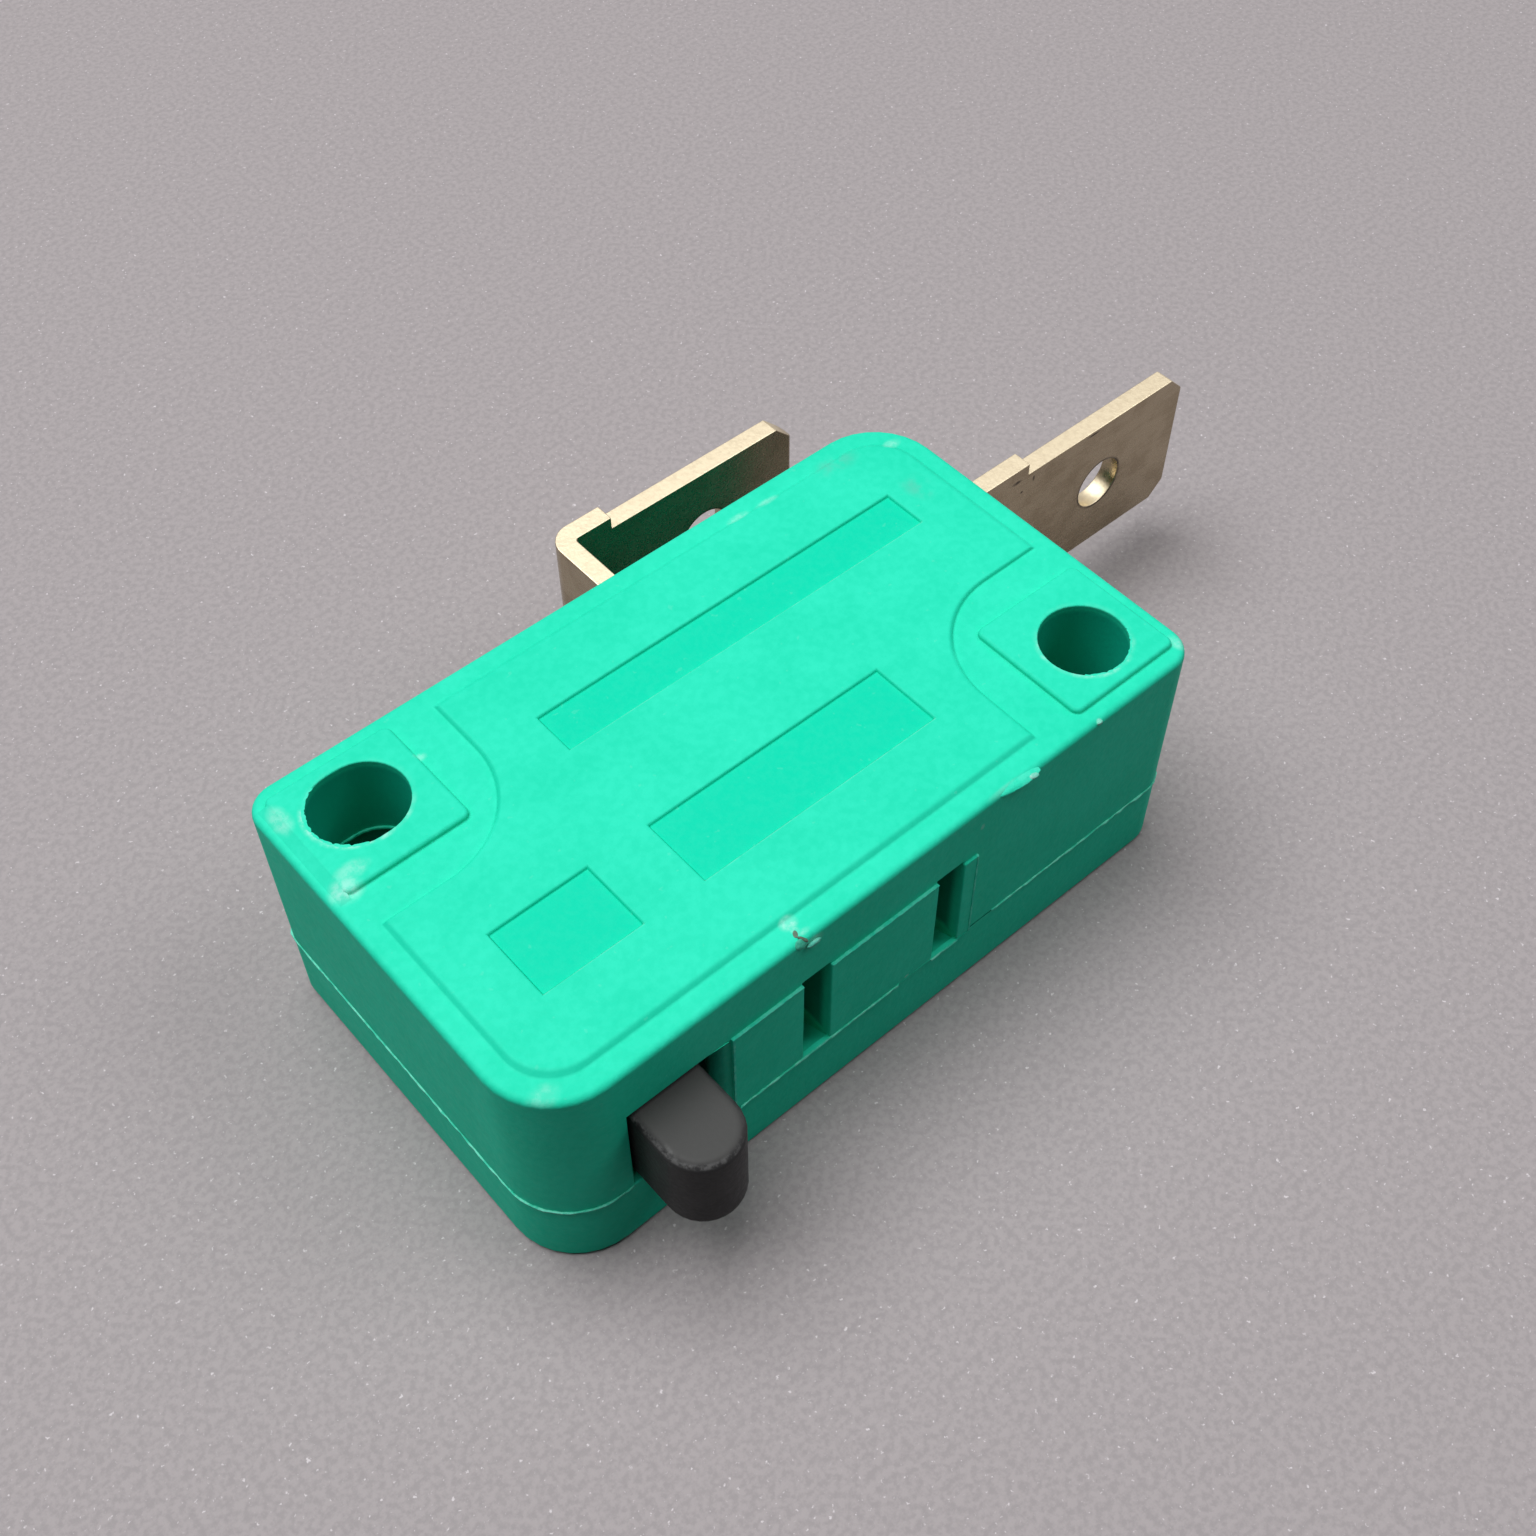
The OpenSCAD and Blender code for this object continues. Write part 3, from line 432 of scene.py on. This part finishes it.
# Plain metals of the pieces inside
innerMetals = {
    "contact_silver": {"base": (0.80, 0.79, 0.76, 1), "dark": (0.55, 0.54, 0.52, 1), "rough": 0.3},
    "spring_bronze": {"base": (0.68, 0.44, 0.25, 1), "dark": (0.50, 0.30, 0.16, 1), "rough": 0.34},
    "spring_steel": {"base": (0.56, 0.57, 0.58, 1), "dark": (0.38, 0.39, 0.40, 1), "rough": 0.28},
}
innerGrains = {"mottleGrain": 1.6, "fineGrain": 9.0, "fineDepth": 0.004}


def makeInnerMetal(name, s, grains):
    material, shader = startMaterial(name, s["rough"], 1.0)
    place = placeInMm(material)
    mottle = fade(material, grain(material, place, grains["mottleGrain"], 4.0), 0.4, 0.65)
    feed(material, shader, "Base Color", blendColour(material, mottle, s["base"], s["dark"]))
    fine = grain(material, place, grains["fineGrain"], 2.0)
    feed(material, shader, "Roughness", fade(material, fine, *wide, s["rough"] - 0.06, s["rough"] + 0.1))
    relief(material, shader, fine, grains["fineDepth"])
    return material


# Squeezed, stretched and torn plastic turns pale, and a dark fleck sits in the largest tear. The dent's
# darker green is painted shade of the dent.
tornPlastics = {
    "flash": {"base": (0.05, 0.62, 0.43, 1), "pale": (0.20, 0.80, 0.62, 1), "rough": 0.55},
    "ridge": {"base": (0.03, 0.66, 0.46, 1), "pale": (0.10, 0.76, 0.56, 1), "rough": 0.55},
    "lip": {"base": (0.024, 0.75, 0.49, 1), "pale": (0.06, 0.78, 0.54, 1), "rough": 0.55},
    "torn": {"base": (0.16, 0.62, 0.48, 1), "pale": (0.34, 0.70, 0.59, 1), "rough": 0.6},
    "curl": {"base": (0.08, 0.46, 0.35, 1), "pale": (0.24, 0.60, 0.49, 1), "rough": 0.6},
    # the dent tones are painted shade
    "dent": {"base": (0.05, 0.44, 0.30, 1), "pale": (0.10, 0.56, 0.40, 1), "rough": 0.7},
    "fleck": {"base": (0.10, 0.16, 0.115, 1), "pale": (0.19, 0.28, 0.21, 1), "rough": 0.8},
}
tornGrains = {"patchGrain": 2.2, "fineGrain": 9.0, "fineDepth": 0.02, "gloss": 0.15}


def makeTorn(name, s, grains):
    material, shader = startMaterial(name + "Plastic", s["rough"], 0.0, grains["gloss"])
    place = placeInMm(material)
    patchy = fade(material, grain(material, place, grains["patchGrain"], 4.0, 0.7), 0.4, 0.62)
    feed(material, shader, "Base Color", blendColour(material, patchy, s["base"], s["pale"]))
    relief(material, shader, grain(material, place, grains["fineGrain"]), grains["fineDepth"])
    return material


finishes = {
    "housing_plastic": makeGreenPlastic(greenPlastic),
    "plunger_plastic": makeBlackPlastic(blackPlastic),
    "terminal_brass": makeBrass(brassStrip),
}
for slotName, settings in innerMetals.items():
    finishes[slotName] = makeInnerMetal(slotName, settings, innerGrains)
for finish, settings in tornPlastics.items():
    finishes[finish] = makeTorn(finish, settings, tornGrains)
print("materials made:", len(finishes))


# The solids' own slots, by node
nodeSlots = {subpart["node"]: subpart["material_slot"] for subpart in frame["record"]["subparts"]}

# Rounded copies of the pieces that show: widths of the broken edges in mm, and places along x where
# faces with holes in them are cut in two, so that each has one outline
roundedPieces = {
    "case": {"name": "caseShell", "edge": 0.05, "step": 0.1, "pad": 0.14, "mouth": 0.06, "foot": 0.05,
             "slope": 0.2, "cuts": (longHole.x, -9.0, 0.0, roundHole.x)},
    "cover": {"name": "coverShell", "edge": 0.05, "cuts": (longHole.x, roundHole.x)},
    "plunger": {"name": "plungerButton", "edge": 0.06, "cuts": ()},
    "end_terminal": {"name": "endBlade", "edge": 0.05, "cuts": (tabTips[0].x - tabHoleIn,)},
    "com_terminal": {"name": "bentBlade", "edge": 0.05, "cuts": (tabTips[1].x - tabHoleIn,),
                     "groove": {"at": (-2.7, 1.89, 5.15), "size": (6.8, 0.8, 1.3)}},  # lets the spring swing
}
copyForm = {"merge": 0.002, "cutReach": 0.001, "flat": math.radians(0.5), "sharp": math.radians(30),
            "segments": 3, "smooth": 40, "faceWeight": 100}
edgePlaces = {"wall": 0.5, "coverUp": 0.3, "level": 0.05}  # wall's thickness, cover's inside, same height
panelFoot = {"level": 0.01, "fromEdge": 0.5, "fromHole": 3.0}


def edgeWidth(node, middle, s, places):  # how far an edge is broken, from where it lies
    inside = abs(middle.x) < halfLong - places["wall"] and abs(middle.y) < halfWide - places["wall"]
    if node == "cover":
        return 0.0 if inside and middle.z > places["coverUp"] else s["edge"]
    if node != "case":
        return s["edge"]
    if middle.z < rimZ - places["level"]:
        return 0.0 if inside else s["edge"]
    if middle.z < panelZ - places["level"]:
        return s["foot"]
    nearHole = min(math.hypot(middle.x - hole.x, middle.y - hole.y) for hole in (roundHole, longHole))
    if nearHole < holeR + holeLong:
        return s["mouth"]
    return s["pad"] if middle.z > (panelZ + padZ) / 2 else s["step"]


def onPanelFoot(point, s):  # on the rim's plane, clear of its outer edge and of the pads
    overX = max(abs(point.x) - (halfLong - cornerR), 0)
    overY = max(abs(point.y) - (halfWide - cornerR), 0)
    fromHoles = min(max(abs(point.x - hole.x), abs(point.y - hole.y)) for hole in (roundHole, longHole))
    return (abs(point.z - rimZ) < s["level"] and math.hypot(overX, overY) < cornerR - s["fromEdge"]
            and fromHoles > s["fromHole"])


def weighEdges(node, piece, s, widest):
    mesh = piece.data
    sides = {}
    for face in mesh.polygons:
        for key in face.edge_keys:
            sides.setdefault(key, []).append(face.normal)
    weights = mesh.attributes.new("bevel_weight_edge", "FLOAT", "EDGE")
    for edge in mesh.edges:
        pair = sides.get(edge.key, [])
        if len(pair) == 2 and pair[0].angle(pair[1], 0.0) > copyForm["sharp"]:
            ends = [mesh.vertices[index].co / mm for index in edge.vertices]
            weights.data[edge.index].value = edgeWidth(node, (ends[0] + ends[1]) / 2, s, edgePlaces) / widest


def cutGroove(piece, s):
    bpy.ops.object.select_all(action="DESELECT")
    bpy.ops.mesh.primitive_cube_add(size=1, location=[c * mm for c in s["at"]])
    cutter = bpy.context.object
    editAll(cutter)
    bpy.ops.transform.resize(value=[c * mm for c in s["size"]], center_override=cutter.location)
    bpy.ops.object.mode_set(mode="OBJECT")
    applyModifier(piece, "BOOLEAN", operation="DIFFERENCE", solver="EXACT", object=cutter)
    bpy.data.objects.remove(cutter)


def roundedCopy(node, s, form):
    pickOnly(frame["nodes"][node])
    bpy.ops.object.duplicate()
    piece = bpy.context.object
    piece.name = s["name"]
    body = piece["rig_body"]
    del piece["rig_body"]
    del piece["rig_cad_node"]
    piece.parent = None
    bpy.ops.mesh.customdata_custom_splitnormals_clear()
    editAll(piece)
    bpy.ops.mesh.remove_doubles(threshold=form["merge"] * mm)
    bpy.ops.mesh.dissolve_limited(angle_limit=form["flat"])
    for x in s["cuts"]:
        bpy.ops.mesh.select_all(action="SELECT")
        bpy.ops.mesh.bisect(plane_co=(x * mm, 0, 0), plane_no=(1, 0, 0), threshold=form["cutReach"] * mm)
        bpy.ops.mesh.mark_seam()
    bpy.ops.mesh.select_all(action="SELECT")
    bpy.ops.mesh.dissolve_limited(angle_limit=form["flat"], delimit={"SEAM"})
    if "slope" in s:  # foot of the panel's sides goes out
        pickParts(piece, "VERT", lambda v: onPanelFoot(v.co / mm, panelFoot))
        bpy.ops.transform.resize(value=(1 + s["slope"] / halfLong, 1 + s["slope"] / halfWide, 1),
                                 center_override=(0, 0, 0))
    bpy.ops.object.mode_set(mode="OBJECT")
    if "groove" in s:
        cutGroove(piece, s["groove"])
    widest = s.get("pad", s["edge"])
    weighEdges(node, piece, s, widest)
    applyModifier(piece, "BEVEL", width=widest * mm, segments=form["segments"], limit_method="WEIGHT",
                  use_clamp_overlap=False, loop_slide=False)
    smoothUnder(form["smooth"])
    applyModifier(piece, "WEIGHTED_NORMAL", keep_sharp=True, weight=form["faceWeight"])
    settle(piece, body, finishes[nodeSlots[node]])
    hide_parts(node)
    return piece


shells = {node: roundedCopy(node, settings, copyForm) for node, settings in roundedPieces.items()}
for node, solid in frame["nodes"].items():
    if node not in shells:
        solid.material_slots[0].material = finishes[nodeSlots[node]]
print("rounded copies:", {node: len(piece.data.polygons) for node, piece in shells.items()})


# Joint between case and cover: thin flash that stands out of it, and the plastic that closes it.
# The bare stretches of the plunger face have none
jointRibbons = {
    "partingFlash": {"inside": 0.04, "standOut": 0.05, "ragged": 0.03, "thick": 0.055, "seed": 11,
                     "whole": True, "finish": "flash", "bare": ((openingX[0], -6.7), (0.4, 1.9), (3.1, 4.9))},
    "jointFill": {"inside": 0.06, "standOut": -0.006, "ragged": 0.002, "thick": 0.09, "seed": 12,
                  "whole": False, "finish": "housing_plastic", "bare": (openingX,)},
}
ribbonForm = {"cornerSteps": 14, "smallCornerSteps": 4, "cutsLong": 96, "cutsShort": 48, "longEdge": 5,
              "atCorner": 0.1, "atFront": 0.3, "smooth": 40}


def makeRibbon(name, s, form):
    bpy.ops.object.select_all(action="DESELECT")
    bpy.ops.mesh.primitive_plane_add(size=2, location=(0, 0, jointZ * mm))
    ribbon = bpy.context.object
    ribbon.name = name
    editAll(ribbon)
    bpy.ops.transform.resize(value=(halfLong * mm, halfWide * mm, 1))
    cornerX, cornerY = (halfLong - form["atCorner"]) * mm, (halfWide - form["atCorner"]) * mm
    for same, radius, steps in ((True, cornerR, form["cornerSteps"]),
                                (False, smallCornerR, form["smallCornerSteps"])):
        pickParts(ribbon, "VERT", lambda v: (v.co.x * v.co.y > 0) == same
                  and abs(v.co.x) > cornerX and abs(v.co.y) > cornerY)
        bpy.ops.mesh.bevel(offset=radius * mm, segments=steps, affect="VERTICES")
    editAll(ribbon)
    bpy.ops.mesh.delete(type="ONLY_FACE")
    for axis, cuts in ((0, form["cutsLong"]), (1, form["cutsShort"])):
        points = ribbon.data.vertices
        pickParts(ribbon, "EDGE", lambda e: abs(points[e.vertices[0]].co[axis]
                                                - points[e.vertices[1]].co[axis]) > form["longEdge"] * mm)
        bpy.ops.mesh.subdivide(number_cuts=cuts)
    bpy.ops.object.mode_set(mode="OBJECT")
    rimCount = len(ribbon.data.vertices)
    editAll(ribbon)
    bpy.ops.mesh.extrude_region_move(TRANSFORM_OT_translate={"value": (0, 0, 0)})
    bpy.ops.transform.resize(value=(1 - s["inside"] / halfLong, 1 - s["inside"] / halfWide, 1))
    pickParts(ribbon, "VERT", lambda v: v.index < rimCount)
    bpy.ops.transform.resize(value=(1 + s["standOut"] / halfLong, 1 + s["standOut"] / halfWide, 1))
    bpy.ops.transform.vertex_random(offset=s["ragged"] * mm, seed=s["seed"])
    atFront = (frontY + form["atFront"]) * mm
    pickParts(ribbon, "VERT", lambda v: v.co.y < atFront and (s["whole"] or v.index < rimCount)
              and landX[0] * mm < v.co.x < landX[1] * mm)
    bpy.ops.transform.translate(value=(0, (landY - frontY) * mm, 0))
    pickParts(ribbon, "FACE", lambda f: f.center.y < atFront
              and any(low * mm < f.center.x < high * mm for low, high in s["bare"]))
    bpy.ops.mesh.delete(type="FACE")
    applyModifier(ribbon, "SOLIDIFY", thickness=s["thick"] * mm, offset=0)
    smoothUnder(form["smooth"])
    settle(ribbon, "housing", finishes[s["finish"]])


for name, settings in jointRibbons.items():
    makeRibbon(name, settings, ribbonForm)
print("joint ribbons made:", len(jointRibbons))


# Squeezed edges of the raised land on the plunger face: ends as x, z in mm
landEdges = {
    "landTopEdgeA": {"from": (landX[0], landTopZ), "to": (-3.9, landTopZ), "steps": 34, "seed": 21},
    "landTopEdgeB": {"from": (-2.7, landTopZ), "to": (1.9, landTopZ), "steps": 52, "seed": 23},
    "landEndEdge": {"from": (landX[1] - 0.02, landTopZ), "to": (landX[1] - 0.02, jointZ + 0.05),
                    "steps": 46, "seed": 22},
    "landStartEdge": {"from": (landX[0] + 0.045, landTopZ), "to": (landX[0] + 0.045, jointZ + 0.15),
                      "steps": 46, "seed": 24},
}
landEdgeForm = {"standOut": 0.02, "ragged": 0.015, "thick": 0.04, "upThick": 0.08, "smooth": 40}


def makeLandEdge(name, s, form):
    start, end = Vector(s["from"]), Vector(s["to"])
    depth = frontY - landY + form["standOut"]
    bpy.ops.object.select_all(action="DESELECT")
    bpy.ops.mesh.primitive_grid_add(x_subdivisions=s["steps"], y_subdivisions=2, size=1)
    edge = bpy.context.object
    edge.name = name
    editAll(edge)
    bpy.ops.transform.resize(value=((end - start).length * mm, depth * mm, 1))
    bpy.ops.transform.vertex_random(offset=form["ragged"] * mm, seed=s["seed"])
    upright = abs(end.y - start.y) > abs(end.x - start.x)
    applyModifier(edge, "SOLIDIFY", thickness=form["upThick" if upright else "thick"] * mm, offset=0)
    middle = (start + end) / 2
    edge.rotation_euler = (0, -math.atan2(end.y - start.y, end.x - start.x), 0)
    edge.location = (middle.x * mm, (frontY - depth / 2) * mm, middle.y * mm)
    smoothUnder(form["smooth"])
    settle(edge, "housing", finishes["ridge"])


for name, settings in landEdges.items():
    makeLandEdge(name, settings, landEdgeForm)
print("land edges made:", len(landEdges))


# Worn slope on the outer side of the pad at the plunger end: low and high edge as x, z, and their
# ends along y; the outer side comes down by the drop, as a share of the rise
padSlope = {"low": (-13.70, 10.07), "high": (-13.24, 10.297), "lowEnds": (2.25, 7.05),
            "highEnds": (2.8, 6.93), "drop": 0.98, "smooth": 20}


def makePadSlope(s):
    bpy.ops.object.select_all(action="DESELECT")
    bpy.ops.mesh.primitive_cube_add(size=2)
    slope = bpy.context.object
    slope.name = "padSlope"
    width, rise = s["high"][0] - s["low"][0], s["high"][1] - s["low"][1]
    length = s["lowEnds"][1] - s["lowEnds"][0]
    editAll(slope)
    bpy.ops.transform.resize(value=(width / 2 * mm, length / 2 * mm, rise / 2 * mm))
    pickParts(slope, "VERT", lambda v: v.co.x < 0 and v.co.z > 0)  # upper outer edge comes down to the rim
    bpy.ops.transform.translate(value=(0, 0, -s["drop"] * rise * mm))
    for side, low, high in zip((-1, 1), s["lowEnds"], s["highEnds"]):  # ends lean in
        pickParts(slope, "VERT", lambda v: v.co.x > 0 and v.co.z > 0 and v.co.y * side > 0)
        bpy.ops.transform.translate(value=(0, (high - low) * mm, 0))
    bpy.ops.object.mode_set(mode="OBJECT")
    slope.location = ((s["low"][0] + width / 2) * mm, sum(s["lowEnds"]) / 2 * mm,
                      (s["low"][1] + rise / 2) * mm)
    smoothUnder(s["smooth"])
    settle(slope, "housing", finishes["housing_plastic"])


makePadSlope(padSlope)
print("pad slope made")


# Torn bits on the upper front edge: place, half sizes, turns in degrees, finish
tornBits = {
    "edgeDent": {"at": (-3.93, -7.81, 9.97), "half": (0.25, 0.18, 0.06), "turn": (58, 0, 0),
                 "finish": "dent"},
    "edgeCurl": {"at": (-3.50, -7.90, 9.69), "half": (0.32, 0.09, 0.12), "turn": (30, 8, 4),
                 "finish": "curl"},
    "edgeFleck": {"at": (-3.90, -7.50, 10.10), "half": (0.08, 0.14, 0.02), "turn": (0, 0, -31),
                  "finish": "fleck"},
    "edgeCrack": {"at": (-3.83, -7.76, 10.06), "half": (0.20, 0.065, 0.05), "turn": (20, 29, -45),
                  "finish": "fleck"},
    "rimBurr": {"at": (5.20, -7.70, 9.97), "half": (1.05, 0.30, 0.11), "turn": (10, 0, -8),
                "finish": "lip"},
    "burrTip": {"at": (5.88, -7.95, 9.99), "half": (0.19, 0.10, 0.06), "turn": (10, 0, -15),
                "finish": "torn"},
    "edgeSpike": {"at": (9.08, -7.82, 9.97), "half": (0.12, 0.07, 0.12), "turn": (30, 0, 0),
                  "finish": "torn"},
}
bitForm = {"ragged": 0.22, "firstSeed": 3, "soften": 0.5, "softenTimes": 3, "smooth": 50}


def makeBit(name, s, form, seed):
    bpy.ops.object.select_all(action="DESELECT")
    bpy.ops.mesh.primitive_ico_sphere_add(subdivisions=4, radius=1, location=[c * mm for c in s["at"]])
    bit = bpy.context.object
    bit.name = name
    editAll(bit)
    bpy.ops.transform.vertex_random(offset=form["ragged"], seed=seed)
    bpy.ops.mesh.vertices_smooth(factor=form["soften"], repeat=form["softenTimes"])
    bpy.ops.transform.resize(value=[h * mm for h in s["half"]], center_override=bit.location)
    bpy.ops.object.mode_set(mode="OBJECT")
    bit.rotation_euler = [math.radians(angle) for angle in s["turn"]]
    smoothUnder(form["smooth"])
    settle(bit, "housing", finishes[s["finish"]])


for seed, (name, settings) in enumerate(tornBits.items(), bitForm["firstSeed"]):
    makeBit(name, settings, bitForm, seed)
print("torn bits made:", len(tornBits))


# Ragged lips at the hole mouths, and the moulding step down in the long hole: kept sector in degrees
holeRings = {
    "lipRight": {"at": roundHole, "long": 0.0, "z": padZ - 0.02, "reach": 0.0, "ragged": 0.03,
                 "thick": 0.04, "keep": (225, 340), "seed": 4},
    "lipLeft": {"at": longHole, "long": holeLong, "z": padZ - 0.02, "reach": 0.02, "ragged": 0.045,
                "thick": 0.04, "keep": (120, 250), "seed": 9},
    "boreStep": {"at": longHole, "long": holeLong, "z": 6.78, "reach": 0.07, "ragged": 0.01,
                 "thick": 0.08, "keep": (0, 360), "seed": 2},
}
ringForm = {"steps": 120, "intoWall": 0.07, "smooth": 45}


def makeRing(name, s, form):
    bpy.ops.object.select_all(action="DESELECT")
    bpy.ops.mesh.primitive_circle_add(vertices=form["steps"], radius=(holeR + form["intoWall"]) * mm,
                                      fill_type="NOTHING")
    ring = bpy.context.object
    ring.name = name
    for side in (-1, 1):  # the hole at the plunger end is a little long
        pickParts(ring, "VERT", lambda v: v.co.x * side > 0)
        bpy.ops.transform.translate(value=(side * s["long"] / 2 * mm, 0, 0))
    editAll(ring)
    bpy.ops.mesh.extrude_region_move(TRANSFORM_OT_translate={"value": (0, 0, 0)})
    inward = 1 - (s["reach"] + form["intoWall"]) / holeR
    bpy.ops.transform.resize(value=(inward, inward, 1))
    bpy.ops.transform.vertex_random(offset=s["ragged"] * mm, seed=s["seed"])
    low, high = s["keep"]
    pickParts(ring, "FACE",
              lambda f: not low <= math.degrees(math.atan2(f.center.y, f.center.x)) % 360 <= high)
    bpy.ops.mesh.delete(type="FACE")
    applyModifier(ring, "SOLIDIFY", thickness=s["thick"] * mm, offset=0)
    ring.location = (s["at"].x * mm, s["at"].y * mm, s["z"] * mm)
    smoothUnder(form["smooth"])
    settle(ring, "housing", finishes["lip"])


for name, settings in holeRings.items():
    makeRing(name, settings, ringForm)
print("hole rings made:", len(holeRings))


# Floor, lamps, world and camera
stageSet = {
    "floor": (0.385, 0.352, 0.360, 1), "floorDark": (0.332, 0.305, 0.313, 1),
    "sparkle": (0.62, 0.58, 0.60, 1), "floorBounce": (0.14, 0.13, 0.132, 1), "black": (0, 0, 0, 1),
    "ambient": (0.012, 0.013, 0.015, 1), "backdrop": (0.46, 0.42, 0.42, 1),
    "floorSize": 2.4, "floorDown": 0.01, "farFrom": (140, 360), "rough": 0.8, "gloss": 0.1,
    "sandGrain": 4.0, "sandDepth": 0.014, "sparkleGrain": 5.0,
}
lamps = {  # soft panels over the object, all turned to it; the camera's side stays dim
    "keyPanel": {"at": (-0.12, 0.15, 0.62), "size": 0.55, "power": 5.2},
    "frontPanel": {"at": (0.32, -0.22, 0.5), "size": 0.3, "power": 0.95},
}


def makeFloor(s):
    bpy.ops.object.select_all(action="DESELECT")
    bpy.ops.mesh.primitive_plane_add(size=s["floorSize"], location=(0, 0, -s["floorDown"] * mm))
    floor = bpy.context.object
    floor.name = "floor"
    material, shader = startMaterial("greyFloor", s["rough"], 0.0, s["gloss"])
    place = placeInMm(material)
    sand = grain(material, place, s["sandGrain"], 3.0, 0.6)
    colour = blendColour(material, fade(material, sand, 0.35, 0.62), s["floorDark"], s["floor"])
    shine = fade(material, grain(material, place, s["sparkleGrain"], 2.0, 0.6), 0.65, 0.75)
    colour = blendColour(material, shine, colour, s["sparkle"])
    seen = seenDirectly(material)
    colour = blendColour(material, seen, s["floorBounce"], colour)
    far = fade(material, vectors(material, "LENGTH", place).outputs["Value"], *s["farFrom"])
    far = times(material, far, seen)  # far off, the floor fades into the backdrop
    feed(material, shader, "Base Color", blendColour(material, far, colour, s["black"]))
    shader.inputs["Emission Color"].default_value = s["backdrop"]
    feed(material, shader, "Emission Strength", far)
    relief(material, shader, sand, s["sandDepth"])
    floor.data.materials.append(material)


def makeLamp(name, s):
    light = bpy.data.lights.new(name, "AREA")
    light.shape = "SQUARE"
    light.size = s["size"]
    light.energy = s["power"]
    lamp = bpy.data.objects.new(name, light)
    bpy.context.scene.collection.objects.link(lamp)
    lamp.location = s["at"]
    lamp.rotation_euler = Vector(s["at"]).to_track_quat("Z", "Y").to_euler()


def makeWorld(s):
    world = bpy.data.worlds.new("studio")
    world.use_nodes = True
    bpy.context.scene.world = world
    feed(world, world.node_tree.nodes["Background"], "Color",
         blendColour(world, seenDirectly(world), s["ambient"], s["backdrop"]))


photoCamera = {  # measured from the picture, in mm of the part
    "at": (-25.6181, -31.5269, 59.7784), "right": (0.75489, -0.65584, -0.00366),
    "down": (-0.51903, -0.59399, -0.61464), "ahead": (0.40093, 0.46588, -0.7888),
    "lens": 46.13, "sensor": 36, "clip": (0.001, 10),  # clip in metres
}


def makeCamera(s):
    data = bpy.data.cameras.new("photoCamera")
    data.sensor_width = s["sensor"]
    data.lens = s["lens"]
    data.clip_start, data.clip_end = s["clip"]
    camera = bpy.data.objects.new("photoCamera", data)
    bpy.context.scene.collection.objects.link(camera)
    axes = (Vector(s["right"]), -Vector(s["down"]), -Vector(s["ahead"]))
    turn = Matrix([[axis[row] for axis in axes] for row in range(3)]).to_4x4()
    camera.matrix_world = Matrix.Translation(Vector(s["at"]) * mm) @ turn
    bpy.context.scene.camera = camera


makeFloor(stageSet)
for name, settings in lamps.items():
    makeLamp(name, settings)
makeWorld(stageSet)
makeCamera(photoCamera)
bpy.context.scene.view_settings.view_transform = "Standard"
print("stage set")
